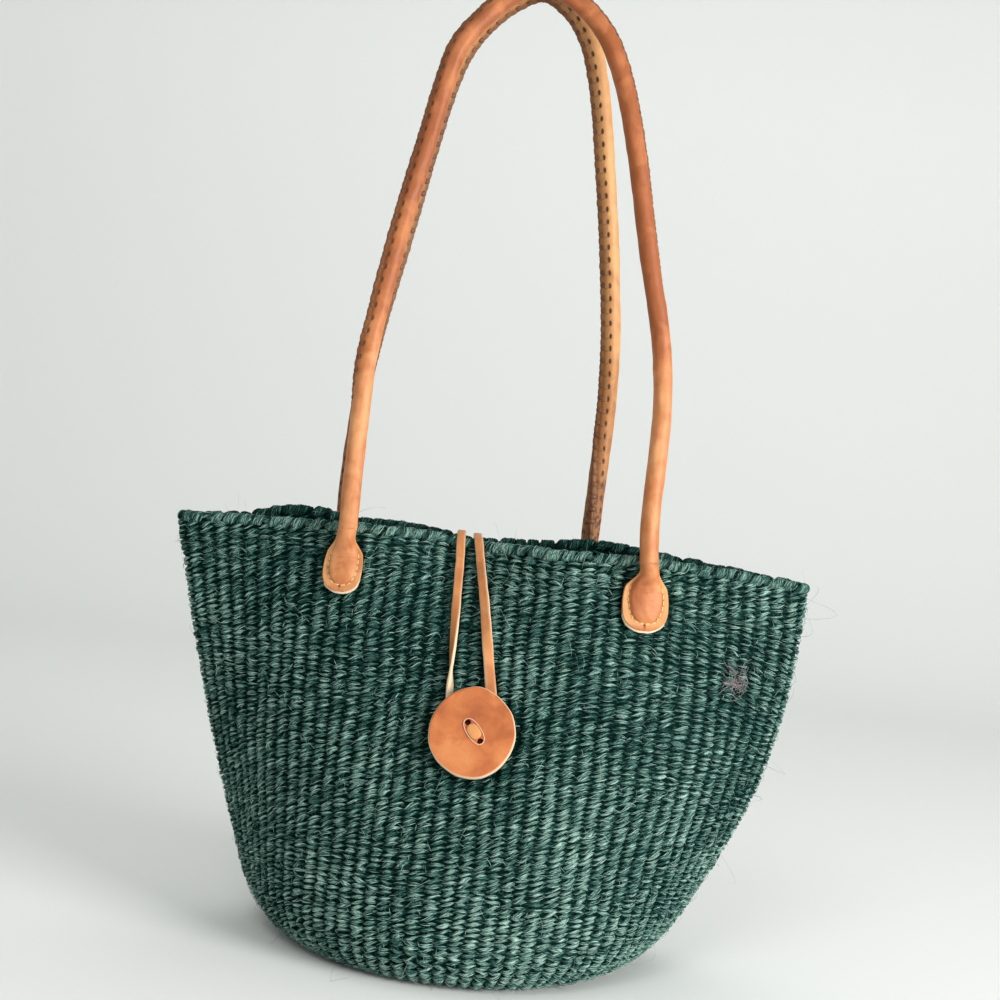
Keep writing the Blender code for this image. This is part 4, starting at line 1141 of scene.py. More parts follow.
PAD_SHARES = np.array([
    # along, outline, pad half width, pad height (mm)
    (0.0, 0.20, 0.0, 0.0), (0.025, 0.42, 0.0, 0.0), (0.06, 0.60, 0.0, 0.0),
    (0.10, 0.74, 0.0, 0.0), (0.13, 0.81, 0.05, 0.05), (0.16, 0.86, 0.32, 0.6),
    (0.21, 0.92, 0.48, 1.5), (0.28, 0.975, 0.62, 2.3), (0.38, 1.0, 0.70, 2.9),
    (0.52, 1.0, 0.74, 3.3), (0.66, 0.97, 0.73, 3.8), (0.78, 0.91, 0.66, 4.7),
    (0.88, 0.80, 0.56, 6.0), (0.96, 0.65, 0.46, 7.6), (1.04, 0.50, 0.40, 8.6),
    (1.3, 0.42, 0.38, 9.0)])

# Round a handle's section, as a share of the half turn from its outer face to its inner
TOP_SHARES = (0.035, 0.075, 0.115, 0.155, 0.19, 0.22, 0.25, 0.28, 0.31, 0.335, 0.36, 0.40,
              0.44, 0.475, 0.495, 0.508, 0.53, 0.55)
# and near the seam, in radians from it
SEAM_OFFSETS = (0.0, 0.045, 0.09, 0.14, 0.20, 0.27, 0.35, 0.45, 0.56, 0.68, 0.80, 0.88,
                0.95, 1.02, 1.09, 1.16, 1.26)
SEAM_PITCH = 7.6 * MM
SLOT_HALF_LENGTH = 1.8 * MM
SLOT_HALF_WIDTH = 1.0 * MM
RIDGE_HEIGHT, RIDGE_REACH, RIDGE_DARK_REACH = 1.55 * MM, 1.35 * MM, 2.3 * MM
SLOT_DEPTH = 0.7 * MM
HANDLE_STEP = 1.15 * MM
PADDLE_STEP = 0.55 * MM
PADDLE_TOP = -1.0 * MM
OPENING_SHARE = 0.26
JOIN_START, JOIN_LENGTH = 7 * MM, 6 * MM
FLECK_LENGTH, FLECK_FADE, FLECK_HALF_WIDTH, FLECK_EDGE = 52 * MM, 22 * MM, 12 * MM, 3 * MM
PAD_END, MARGIN_END, EDGE_END = 0.335, 0.495, 0.55
STITCH_PITCH = 3.5 * MM
STITCH_LENGTH = 2.7 * MM
STITCH_TURN_SHARE = 0.24
SLOT_OFFSETS = {FRONT: 3.7 * MM, BACK: 6.2 * MM}
SEAM_STRENGTHS = {FRONT: 0.75, BACK: 1.0}


def handle_route(side):
    """Centre line of one handle, from the left hinge over the apex to the right hinge."""
    rise, left_x, right_x = OUTLINES[side].T
    depth = HINGE_DEPTHS[side]
    y = side * (depth + (HANDLE_TOP_DEPTH - depth) * rise ** 1.15)
    z = HINGE_HEIGHT + (APEX_HEIGHT - HINGE_HEIGHT) * rise
    left = np.stack([left_x, y, z], -1)
    right = np.stack([right_x, y, z], -1)
    return np.vstack([left, right[-2::-1]])


def tab_frame(side, leg):
    """Frame of a paddle: its origin is under the hinge, Y runs up the wall and Z out."""
    depth = HINGE_DEPTHS[side]
    width, length = TABS[side, leg]
    x = OUTLINES[side][0, 1 if leg < 0 else 2]
    spot = wall_spot(x, HINGE_HEIGHT - HANDLE_RADIUS - length / 2, side)
    hinge = spot.inverted() @ Vector((x, side * depth, HINGE_HEIGHT))
    upward = spot @ Matrix.Translation((0, hinge.y, 0))
    bow = 0.0
    for a in (-width / 2, 0, width / 2):
        for b in (-HANDLE_RADIUS - length, -HANDLE_RADIUS - length / 2, -HANDLE_RADIUS):
            flat = upward @ Vector((a, b, 0))
            wall = wall_spot(flat.x, flat.z, side).to_translation()
            bow = max(bow, (upward.inverted() @ wall).z)
    return upward, hinge.z, 2 * SEAT_GAP + bow + 1.6 * MM


def paddle_bottom(side, leg):
    """Height of a paddle's lower end in its own frame."""
    return -HANDLE_RADIUS - SEAT_GAP - TABS[side, leg][1]


def paddle_section(along, share, sign, width):
    """Across and height of a paddle's section, for shares round it (0 outside, 1 under)."""
    shares = blended(along, PAD_SHARES[:, 0], PAD_SHARES[:, 1:])
    outline, pad, swell = np.moveaxis(shares, -1, 0)
    half, pad_half = width / 2 * outline, width / 2 * np.minimum(pad, outline)
    inner, margin, edge = PAD_END, MARGIN_END, EDGE_END
    a = np.where(share <= inner, pad_half * share / inner, 0.0)
    a = np.where((share > inner) & (share <= margin),
                 pad_half + (half - pad_half) * (share - inner) / (margin - inner), a)
    a = np.where((share > margin) & (share <= edge), half, a)
    a = np.where(share > edge, half * (1 - share) / (1 - edge), a)
    fall = np.sqrt(np.clip(1 - (share / inner) ** 2, 0, 1)) ** 0.75
    h = TAB_LEATHER + np.where(share <= inner, swell * MM * fall, 0.0)
    groove = np.exp(-((share - inner) / 0.02) ** 2) * 0.3 * MM * np.clip(swell, 0, 1)
    h = h - groove
    drop = np.clip((share - margin) / (edge - margin), 0, 1)
    h = np.where(share > margin, TAB_LEATHER * (1 - drop), h)
    return sign * a, h


def seam_angle(side, share):
    """Where the seam lies round the handle, at shares of its length from left to right:
    0 faces out of the basket, -90 is the outside of the front handle's arch and the inside
    of the back handle's, and 180 faces the wall."""
    if side == FRONT:
        stops = [(0, -180), (0.03, -178), (0.10, -120), (0.17, -62), (0.28, -68),
                 (0.40, -84), (0.50, -100), (0.62, -112), (0.75, -122), (0.86, -150),
                 (0.95, -178), (1, -180)]
    else:
        stops = [(0, -180), (0.05, -165), (0.2, -102), (0.5, -100), (0.8, -104),
                 (0.90, -118), (0.96, -165), (1, -180)]
    places, angles = np.array(stops).T
    return np.radians(np.interp(share, places, angles))


# Folds across the paddles' pads, as shares of the length up from the bottom
FOLDS = {(FRONT, -1): (0.56, 0.68), (FRONT, 1): (0.70,), (BACK, -1): (), (BACK, 1): ()}
RIPPLE = smooth_noise(9, 120, 6)
CREASES = smooth_noise(14, 60, 7)


def paddle_rows(side, leg, frame, hinge_out, low, q, sign, joined):
    """A paddle's rings from its bottom up to the tube's end ring: points, coordinates for
    the grain, and ridge, wrinkle flecks, cut and margin at each point."""
    width, length = TABS[side, leg]
    bottom = paddle_bottom(side, leg)
    y = np.linspace(bottom, PADDLE_TOP, int((PADDLE_TOP - bottom) / PADDLE_STEP))
    along = ((y - bottom) / length)[:, None]
    q = q[None] + 0 * along
    a, h = paddle_section(along, q, sign[None], width)
    dents = CREASES(a / 0.07 + leg * 0.3 + side * 0.2, along * 0.13 + a / 0.3)
    folds = 0.0
    for place in FOLDS[side, leg]:
        line = along - place - 0.02 * np.sin(a / (3 * MM))
        folds = folds + np.exp(-(line / 0.022) ** 2)
        folds = folds - 0.4 * np.exp(-((line - 0.05) / 0.03) ** 2)
    raised = np.clip((h - TAB_LEATHER) / (1.5 * MM), 0, 1)
    h = h + (dents * 0.35 - folds * 0.55) * MM * raised
    y = y[:, None] + 0 * a
    flat = np.stack([a, y, low + h], -1)
    tube_a = HANDLE_RADIUS * np.sin(math.pi * q) * sign[None]
    tube_h = HANDLE_RADIUS * np.cos(math.pi * q)
    upper = apply(frame, np.stack([tube_a, y, hinge_out + tube_h], -1))
    start = -HANDLE_RADIUS - OPENING_SHARE * length
    w = np.clip((y - start) / (PADDLE_TOP - start), 0, 1)
    w = (w * w * (3 - 2 * w))[..., None]
    near = np.clip((y + JOIN_START) / JOIN_LENGTH, 0, 1)[..., None]
    upper = upper + (joined[None] - upper[-1:]) * near ** 2
    mixed = apply(frame, flat) * (1 - w) + upper * w
    middle = mixed[:1].mean(axis=1, keepdims=True)
    cap = [middle + (mixed[:1] - middle) * k for k in (0.02, 0.5, 0.97)]
    place = np.stack([y, tube_h * w[..., 0] + (low + h - hinge_out) * (1 - w[..., 0]),
                      np.abs(tube_a) * sign * w[..., 0] + a * (1 - w[..., 0])], -1)
    below = np.clip((0.34 - along) / 0.12, 0.15, 1)
    cut = ((q > 0.50) & (q < 0.56)) * (1 - w[..., 0]) * below
    margin = (np.clip((q - PAD_END) / 0.03, 0, 1) * (q < 0.56) * (1 - w[..., 0])
              * np.clip((along - 0.02) / 0.1, 0, 1))
    data = np.stack([0 * a, 0 * a, cut, margin], -1)
    ends = data[:1] * 0 + np.array([0.0, 0.0, 1.0, 0.0])
    return (np.concatenate(cap + [mixed]), np.concatenate([place[:1]] * 3 + [place]),
            np.concatenate([ends] * 3 + [data]))


def make_handle(side, material, lace_material):
    """One handle: a sheet of leather rolled round a rope, its seam laced, which opens out
    at both ends into a padded paddle. Gives each paddle's frame and its height there."""
    reach = float(steps_of(catmull(handle_route(side), 24 * 36)).sum())
    centre = catmull(handle_route(side), int(reach / HANDLE_STEP))
    tangent = unit(np.gradient(centre, axis=0))
    out = square_to(np.tile((0.0, side, 0.0), (len(centre), 1)), tangent)
    across = np.cross(tangent, out)
    share = np.linspace(0, 1, len(centre))
    turned = seam_angle(side, share)

    delta = [-d for d in SEAM_OFFSETS[:0:-1]] + list(SEAM_OFFSETS)
    far = [math.pi * (1 - q) for q in TOP_SHARES[::-1]]
    delta = np.array([-math.pi] + [-math.pi + math.pi * q for q in TOP_SHARES] + delta + far)
    distance = share * reach
    offset = np.abs(delta[None]) * HANDLE_RADIUS
    phase = distance / SEAM_PITCH
    scallop = 0.25 + 0.75 * np.abs(np.sin(math.pi * phase)) ** 0.7
    fade = np.clip(np.minimum(distance, reach - distance) / (9 * MM), 0, 1)[:, None]
    slot_offset = SLOT_OFFSETS[side]

    theta = turned[:, None] + delta[None]
    radius = HANDLE_RADIUS * (1 + 0.035 * RIPPLE(theta / (2 * math.pi), share[:, None])
                              + 0.02 * CREASES(theta / (2 * math.pi), share[:, None]))
    ridge = np.exp(-(offset / RIDGE_REACH) ** 2.6)
    dark_ridge = np.exp(-(offset / RIDGE_DARK_REACH) ** 4)
    dip = np.exp(-((offset - 2.2 * MM) / (0.8 * MM)) ** 2)
    slot_phase = (phase[:, None] + 0.5) % 1.0 - 0.5
    slots = np.exp(-((slot_phase * SEAM_PITCH / (1.3 * MM)) ** 4
                     + ((offset - slot_offset) / (0.65 * MM)) ** 4))
    radius = radius + fade * (ridge * scallop[:, None] * RIDGE_HEIGHT - dip * 0.25 * MM
                              - slots * SLOT_DEPTH)
    tube = (centre[:, None] + out[:, None] * (radius * np.cos(theta))[..., None]
            + across[:, None] * (radius * np.sin(theta))[..., None])
    seam = np.stack([distance[:, None] + 0 * offset, offset - slot_offset + 0 * theta,
                     fade * SEAM_STRENGTHS[side] + 0 * offset], -1)
    nothing = 0 * theta
    wrinkle_flecks = nothing
    if side == BACK:
        low_end = np.clip((distance - reach + FLECK_LENGTH) / FLECK_FADE, 0, 1)[:, None]
        wrinkle_flecks = low_end * np.clip((FLECK_HALF_WIDTH - offset) / FLECK_EDGE, 0, 1)
    grain = np.stack([distance[:, None] - reach / 2 + nothing,
                      HANDLE_RADIUS * np.cos(math.pi - delta) + nothing,
                      HANDLE_RADIUS * np.sin(-delta) + nothing], -1)

    rings, grains, seams = [tube], [grain], [seam]
    extra = [np.stack([dark_ridge * fade + nothing, wrinkle_flecks, nothing, nothing], -1)]
    q = 1 - np.abs(delta) / math.pi
    frames = {}
    for leg in (-1, 1):
        frame, hinge_out, low = tab_frame(side, leg)
        frames[leg] = frame, low
        sign = np.where(delta < 0, 1.0, -1.0) * (-leg)
        mixed, place, data = paddle_rows(side, leg, frame, hinge_out, low, q, sign,
                                         tube[0 if leg < 0 else -1])
        place[..., 0] = (place[..., 0] - reach / 2) * -leg
        place[..., 2] *= -leg
        still = 0 * place + (0.0, 9 * MM, 0.0)
        for rows, new in ((rings, mixed), (grains, place), (seams, still), (extra, data)):
            if leg < 0:
                rows.insert(0, new)
            else:
                rows.append(new[::-1])
    points, data, grain, seam = (np.concatenate(a) for a in (rings, extra, grains, seams))
    tag = SIDE_NAMES[side]
    obj = add_mesh(f"{tag}_handle_leather", points, tube_quads(*points.shape[:2]), material, {
        "rail": grain, "seam": seam, "ridge": data[..., 0], "wrinkle_flecks": data[..., 1],
        "cut": data[..., 2], "margin": data[..., 3]})
    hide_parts(f"{tag}_handle_cover", f"{tag}_handle_core", f"handle_tab_{tag}_left",
                f"handle_tab_{tag}_right")
    low = (0, side * HINGE_DEPTHS[side], HINGE_HEIGHT - 7 * MM)
    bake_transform(obj)
    make_seam_lace(side, centre, out, across, turned, reach, lace_material)
    return frames


def make_seam_lace(side, centre, out, across, turned, reach, material):
    """The lace's short turns over the seam's ridge, one to each pair of slots."""
    share = np.linspace(0, 1, len(centre))
    wraps, hints = [], []
    for k in range(2, int(reach / SEAM_PITCH) - 1):
        s = np.linspace(-0.42, 0.42, 9)
        d = k * SEAM_PITCH + (s * 0.5 - 0.2) * MM
        i = np.clip(np.round(d / reach * (len(share) - 1)).astype(int), 0, len(share) - 1)
        o = s * SLOT_OFFSETS[side]
        r = HANDLE_RADIUS + np.exp(-np.abs(o / (1.4 * MM)) ** 2.6) * 0.75 * MM
        r = r - 0.9 * MM * (s / 0.42) ** 4
        angle = turned[i] + o / HANDLE_RADIUS
        hint = out[i] * np.cos(angle)[:, None] + across[i] * np.sin(angle)[:, None]
        wraps.append(blended(d / reach, share, centre) + hint * r[:, None])
        hints.append(hint)
    wraps, hints = np.stack(wraps), np.stack(hints)
    wide = np.full(wraps.shape[:2], 1.7 * MM)
    points, quads, _ = sweep(wraps, hints, wide, wide * 0.35, 8)
    leather_piece(f"{SIDE_NAMES[side]}_handle_lace", points, quads, material, 0.0,
                  f"{SIDE_NAMES[side]}_handle", "tan_leather")


def make_stitches(side, leg, frame, low, material, dark):
    """The thread that holds a paddle's pad: short stitches along the pad's outline, and dark
    marks at the holes they go into, which are painted shade."""
    width, length = TABS[side, leg]
    bottom = paddle_bottom(side, leg)
    rng = np.random.default_rng(50 + 2 * leg + side)
    top = low + TAB_LEATHER
    along = np.linspace(0.90, STITCH_TURN_SHARE, 60)
    pad = np.interp(along, PAD_SHARES[:, 0], PAD_SHARES[:, 2]) * width / 2 + 0.35 * MM
    right = np.stack([pad, bottom + along * length], -1)
    arc = np.linspace(0, math.pi, 24)[1:-1]
    round_share = STITCH_TURN_SHARE - 0.115 * np.sin(arc)
    turn = np.stack([pad[-1] * np.cos(arc), bottom + length * round_share], -1)
    line = np.vstack([right, turn, right[::-1] * (-1, 1)])
    steps = running(steps_of(line))
    count = int(steps[-1] / STITCH_PITCH)
    paths, holes = [], []
    for k in range(count):
        begin = (k + 0.15) * steps[-1] / count
        s = begin + np.linspace(0, 1, 6) * STITCH_LENGTH
        a, b = blended(s, steps, line).T + [[rng.normal(0, 0.12 * MM)], [0.0]]
        z = top + (np.sin(np.linspace(0, math.pi, 6)) * 0.35 - 0.25) * MM
        paths.append(np.stack([a, b, z], -1))
        holes.append([(a[0], b[0] + c * MM, top - 0.12 * MM) for c in (-0.45, 0, 0.45)])
    holes.append([(0, bottom + c * MM, top - 0.1 * MM) for c in (2.4, 3.2, 4.0)])
    tag = f"{SIDE_NAMES[side]}_{LEG_NAMES[leg]}"
    wide = np.full((count, 6), 0.42 * MM)
    thin = np.array([0.16, 0.36, 0.16]) * MM * np.ones((count + 1, 1))
    thin[-1] *= 2.2
    for name, lines, half, flat, matter in (("stitches", paths, wide, 0.7, material),
                                            ("stitch_hole_shade", holes, thin, 0.45, dark)):
        lines = apply(frame, np.array(lines))
        hints = np.tile(np.array(frame)[:3, 2], (*half.shape, 1))
        points, quads, _ = sweep(lines, hints, half, half * flat, 6)
        leather_piece(f"{name}_{tag}", points, quads, matter, 0.0, "basket", "raw_leather")


def make_backing(side, leg, frame, low, material):
    """The under layer of a paddle, whose pale cut edge shows below the leather."""
    width, length = TABS[side, leg]
    rng = np.random.default_rng(70 + 2 * leg + side)
    along = np.concatenate([np.linspace(-0.028, 0.30, 16), np.linspace(0.36, 0.84, 9)])
    half = np.interp(along + 0.028, PAD_SHARES[:, 0], PAD_SHARES[:, 1]) * width / 2
    half = half + np.interp(along, (0.1, 0.4), (0.05 * MM, -0.45 * MM))
    y = paddle_bottom(side, leg) + along * length
    left = -half - rng.normal(0, 0.12 * MM, len(along))
    right = half + rng.normal(0, 0.12 * MM, len(along))
    top, under = low + 0.10 * MM + 0 * y, low - 1.30 * MM + 0 * y
    rows = np.stack([np.stack([x, y, z], -1) for x, z in (
        (right, top), (left, top), (left, under), (right, under))], 1)
    tag = f"{SIDE_NAMES[side]}_{LEG_NAMES[leg]}"
    obj = add_mesh(f"backing_{tag}", apply(frame, rows), tube_quads(len(along), 4), material,
                   {"cut": 0.0}, smooth=False)
    finish_piece(obj, "basket", "raw_leather", f"tab_backing_{tag}")


def repaint(node, material):
    """Gives a CAD node that keeps its shape a finer material."""
    materials = bpy.data.objects[node].data.materials
    materials.clear()
    materials.append(material)


def build_handles():
    """Both handles with their paddles, and the finer leather of the patches inside."""
    # rail: painted light along each handle, paler or darker at mid-leg, near the hinge and on
    # the paddle
    front = leather_material("handle_leather_front", (0.310, 0.088, 0.026),
                             (0.480, 0.165, 0.056), (0.620, 0.275, 0.112),
                             rail=(-0.26, 0.16, -0.02), mottle=1.25)
    back = leather_material("handle_leather_back", (0.255, 0.092, 0.026),
                            (0.430, 0.188, 0.062), (0.590, 0.305, 0.120),
                            rail=(0.16, -0.16, 0.0))
    lace = leather_material("lace_leather", (0.10, 0.034, 0.011), (0.16, 0.060, 0.021),
                            (0.25, 0.105, 0.040))
    thread = leather_material("stitch_thread", (0.55, 0.30, 0.10), (0.72, 0.45, 0.17),
                              (0.84, 0.60, 0.30))
    dark = leather_material("stitch_shadow", (0.10, 0.030, 0.010), (0.14, 0.045, 0.016),
                            (0.20, 0.07, 0.025))
    raw = leather_material("raw_leather_edge", (0.60, 0.44, 0.28), (0.76, 0.61, 0.43),
                           (0.88, 0.76, 0.60))
    hidden = ["button_washer"]
    for side, material in ((FRONT, front), (BACK, back)):
        for leg, (frame, low) in make_handle(side, material, lace).items():
            make_backing(side, leg, frame, low, raw)
            make_stitches(side, leg, frame, low, thread, dark)
            hidden.append(f"inner_patch_{SIDE_NAMES[side]}_{LEG_NAMES[leg]}")
    for node in hidden:
        repaint(node, lace)


# Button and thong

HOLE_RADII = (1.6 * MM, 1.85 * MM)
EYE_HALF_LENGTH = 8.3 * MM
EYE_BOW = 3.7 * MM
EYE_HEIGHT = 0.42 * MM
EYE_LENS_SHARE = 0.56
BUTTON_FACE = BUTTON_STANDOFF + BUTTON_THICKNESS


def drill(obj, name, place):
    """Cuts a round hole through a piece."""
    bm = bmesh.new()
    bmesh.ops.create_cone(bm, cap_ends=True, segments=20, radius1=HOLE_RADII[0],
                          radius2=HOLE_RADII[1], depth=20 * MM, matrix=place)
    cutter = bpy.data.meshes.new(name)
    bm.to_mesh(cutter)
    bm.free()
    tool = bpy.data.objects.new(name, cutter)
    bpy.context.scene.collection.objects.link(tool)
    modifier = obj.modifiers.new(name, "BOOLEAN")
    modifier.object = tool
    modifier.solver = "EXACT"
    bpy.context.view_layer.update()
    cut = obj.evaluated_get(bpy.context.evaluated_depsgraph_get())
    mesh = bpy.data.meshes.new_from_object(cut)
    obj.modifiers.clear()
    obj.data = mesh
    bpy.data.objects.remove(tool, do_unlink=True)


def make_disc(material, spot, holes):
    """The button: a hand-cut disc with a pale cut edge and two holes."""
    sides, rings, side_rings = 128, 26, 6
    angle = 2 * math.pi * np.arange(sides) / sides
    rng = np.random.default_rng(8)
    outline = np.ones(sides)
    for k in range(2, 15):
        outline += rng.normal(0, 0.0150 / k ** 0.9) * np.cos(k * angle + rng.uniform(0, 6.3))
    outline *= BUTTON_RADIUS * (1 - 0.022 * (1 + np.cos(2 * angle)))
    under, face = BUTTON_STANDOFF, BUTTON_FACE
    profile = [(s, face + 0.35 * MM * (1 - s ** 2)) for s in np.linspace(0.004, 0.968, rings)]
    profile += [(0.985, face - 0.10 * MM), (0.996, face - 0.45 * MM), (1.0, face - 1.0 * MM),
                (1.0, under + 0.5 * MM), (0.99, under)]
    profile += [(s, under) for s in (0.7, 0.35, 0.004)]
    ripple = smooth_noise(12, 6, 61)
    rows, cuts = [], []
    for i, (share, height) in enumerate(profile):
        shift = 0.30 * MM * share * (i < rings)
        x, y = outline * share * np.cos(angle) - shift, outline * share * np.sin(angle) + shift
        z = height + 0.22 * MM * ripple(angle / (2 * math.pi), np.full(sides, share))
        rows.append(np.stack([x, y, z], -1))
        cuts.append(np.clip((share - 0.972) / 0.02, 0, 1) if i < rings + side_rings else 0.6)
    disc = add_mesh("button_leather", apply(spot, np.stack(rows)),
                    tube_quads(len(rows), sides), material, {"cut": np.array(cuts)[:, None]})
    for k, hole in enumerate(holes):
        drill(disc, f"hole_{k}", spot @ Matrix.Translation((*hole, BUTTON_FACE)))
    finish_piece(disc, "button", "tan_leather", "button_disc")


def make_eye(material, spot):
    """The lace's flat eye: pale edges that bow round both holes, and a lens between them."""
    across = np.array([-HOLE_LINE[1], HOLE_LINE[0]])
    top = BUTTON_FACE + EYE_HEIGHT
    t = np.linspace(-1, 1, 52)
    edge = EYE_BOW * np.sqrt(np.clip(1 - np.abs(t) ** 2.3, 0, 1)) + 0.25 * MM
    lift = top + 0.30 * MM * np.sin((t + 1) * math.pi / 2)
    left, right = (np.column_stack([
        HOLE_LINE * (t * EYE_HALF_LENGTH)[:, None] + across * (s * edge)[:, None] + EYE_SHIFT,
        lift]) for s in (-1, 1))
    ring = np.vstack([left, right[::-1], left[:1]])[None]
    wide = np.full(ring.shape[:2], 0.27 * MM)
    points, quads, _ = sweep(ring, 0 * ring + (0, 0, 1), wide, wide * 0.8, 6)
    leather_piece("button_eye_edge", apply(spot, points), quads, material, 0.9,
                  "button_tie", "raw_leather", "button_lace")
    t = np.linspace(-EYE_LENS_SHARE, EYE_LENS_SHARE, 20)
    half = 3.0 * MM * np.sqrt(np.clip(1 - np.abs(t / EYE_LENS_SHARE) ** 3, 0, 1)) + 0.5 * MM
    path = np.column_stack([HOLE_LINE * (t * EYE_HALF_LENGTH)[:, None] + EYE_SHIFT,
                            top - 0.05 * MM + 0.25 * MM * np.cos(t * 2.2)])[None]
    points, quads, _ = sweep(path, 0 * path + (0, 0, 1), half[None],
                             np.full((1, len(t)), 0.55 * MM), 12)
    leather_piece("button_eye", apply(spot, points), quads, material, 0.12, "button_tie",
                  "raw_leather")


def make_button(material, lens_material, dark):
    """The button, the eye of its lace, and the lace's two legs down through the wall."""
    spot = wall_spot(0.0, BUTTON_HEIGHT, FRONT)
    holes = [HOLE_LINE * HOLE_SPACING / 2 * s + EYE_SHIFT for s in (-1, 1)]
    make_disc(material, spot, holes)
    make_eye(lens_material, spot)
    stem = [(0, 0, z) for z in np.linspace(-8.6 * MM, BUTTON_STANDOFF - 0.6 * MM, 8)]
    pair = np.array([stem + [(*(hole * 0.6), BUTTON_STANDOFF - 0.9 * MM),
                             (*hole, BUTTON_STANDOFF + 0.2 * MM),
                             (*hole, BUTTON_STANDOFF + 1.5 * MM)] for hole in holes])
    wide = np.full(pair.shape[:2], 1.15 * MM)
    wide[:, :2] = 3.2 * MM, 2.2 * MM
    # The legs are drawn near black in lace_shadow: painted shade where the lace goes through
    # the button.
    points, quads, _ = sweep(pair, 0 * pair + (0.3, 0.9, 0.1), wide, wide * 0.9, 8)
    leather_piece("button_lace_legs", apply(spot, points), quads, dark, 0.0, "button_tie",
                  "raw_leather")


def rim_top(x, side):
    """Centre of the rim's roll at x."""
    y = float(mouth_half_depth(x) - pinch_depth(x)) - WALL / 2
    z = float(top_height(x, side == BACK)) + SEAT_GAP + BRAID_RADIUS - float(pressed(x))
    return np.array([x, side * y, z])


def lifted(spot, height):
    """The point at a height off a spot of the wall, and the outward direction there."""
    frame = np.array(spot)
    return frame[:3, 3] + frame[:3, 2] * height, frame[:3, 2]


def thong_run(height):
    """How far down a strand a height lies, from the rim (0) to the turn (1)."""
    return (RIM_HEIGHT + BRAID_TOP - height) / (RIM_HEIGHT - LOOP_TURN_HEIGHT)


# How far the left strand has turned over, in degrees, at shares of its way down: it shows
# its cut edge above the button, lies flat under the button's rim and turns back behind it
LEFT_TWIST_SHARES = (0.20, 0.33, 0.47, 0.60, 0.67, 0.74, 0.80, 0.87, 0.933, 1.0)
LEFT_TWISTS = (0, 19, 48, 80, 108, 150, 178, 180, 90, 0)

# How much wider than it should be the thong is, at shares of its whole length
WIDER_SHARES = (0.33, 0.37, 0.46, 0.52, 0.62, 0.92)
WIDER = (0.0, -0.36, -0.25, 0.1, 0.32, 0.0)


def thong_strand(leg):
    """Stations of one strand, from the back rim over the front rim and down the front:
    point, outward direction and how far the thong has twisted."""
    x = LOOP_RIM_CENTRE + LOOP_RIM_HALF_SPACING * leg
    top = rim_top(x, BACK)
    high = top[2] + THONG_SNUG
    stations = [((x, top[1], high), (0, 0, 1), 0.0),
                ((x, 0.3 * top[1], high - 0.2 * MM), (0, 0, 1), 0.0),
                ((x, -0.5 * top[1], high - 0.1 * MM), (0, 0, 1), 0.0)]
    front = rim_top(x, FRONT)
    for a in (5, 30, 55, 80):
        outward = np.array((0, -math.sin(math.radians(a)), math.cos(math.radians(a))))
        spot = front + outward * THONG_SNUG
        spot[0] = thong_x(leg, thong_run(spot[2]))
        stations.append((spot, outward, 0.0))
    top_z = front[2] - BRAID_RADIUS
    for i in range(1, 15):
        share = i / 15
        z = top_z + (LOOP_TURN_HEIGHT - top_z) * share
        settle = WALL / 2 * (1 - share) ** 6
        if leg < 0:
            twist = math.radians(np.interp(share, LEFT_TWIST_SHARES, LEFT_TWISTS))
        else:
            twist = math.radians(11) * np.clip((share - 0.02) / 0.15, 0, 1)
            twist -= math.radians(40) * np.clip((share - 0.35) / 0.22, 0, 1)
            twist *= np.clip((0.74 - share) / 0.1, 0, 1)
        raised = THONG_LIFT + settle + 0.8 * MM * abs(math.sin(twist))
        raised -= THONG_SINK * np.clip((share - 0.6) / 0.1, 0, 1)
        spot = wall_spot(thong_x(leg, thong_run(z)), z, FRONT)
        stations.append((*lifted(spot, raised), twist))
    return stations


def make_thong(material):
    """The closing thong: one flat strip with tan faces and pale cut edges."""
    turn = []
    for angle in (180, 215, 250, 290, 325, 360):
        a = math.radians(angle)
        spot = wall_spot(LOOP_LOW_CENTRE + LOOP_LOW_HALF_SPACING * math.cos(a),
                         LOOP_TURN_HEIGHT + LOOP_TURN_RADIUS * math.sin(a), FRONT)
        turn.append((*lifted(spot, THONG_LIFT - THONG_SINK), 0.0))
    count = 420
    path, values = through(thong_strand(-1) + turn + thong_strand(1)[::-1], count)
    share, twist = np.linspace(0, 1, count), values[:, 3]
    tangent = unit(np.gradient(path, axis=0))
    out = square_to(unit(values[:, :3]), tangent)
    across = np.cross(tangent, out)
    down = np.where(share < 0.5, 1.0, -1.0)
    turned_out = out * np.cos(twist)[:, None] + across * (np.sin(twist) * down)[:, None]
    turned_across = np.cross(tangent, turned_out)
    w, t = THONG_WIDTH / 2, THONG_THICKNESS / 2
    top, under = w - 0.25 * MM, w - 0.2 * MM
    section = np.array([(-w, 0.45), (-top, 1.0), (-w * 0.5, 1.03), (0, 1.05), (w * 0.5, 1.03),
                        (top, 1.0), (w, 0.45), (w, -0.5), (under, -1.0), (0, -1.0),
                        (-under, -1.0), (-w, -0.5)])
    cut = np.array([1, 0.25, 0, 0, 0, 0.25, 1, 1, 1, 0.8, 1, 1.0])
    wobble = smooth_noise(2, 60, 91)(np.zeros(count), share)
    wobble = 0.05 * wobble + np.interp(share, WIDER_SHARES, WIDER)
    points = (path[:, None] + turned_across[:, None] * (section[:, 0][None]
              * (1 + wobble[:, None]))[..., None]
              + turned_out[:, None] * (section[:, 1] * t)[None, :, None])
    obj = add_mesh("closing_thong", points, tube_quads(count, len(section)), material,
                   {"cut": cut})
    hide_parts("closure_loop")
    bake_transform(obj)


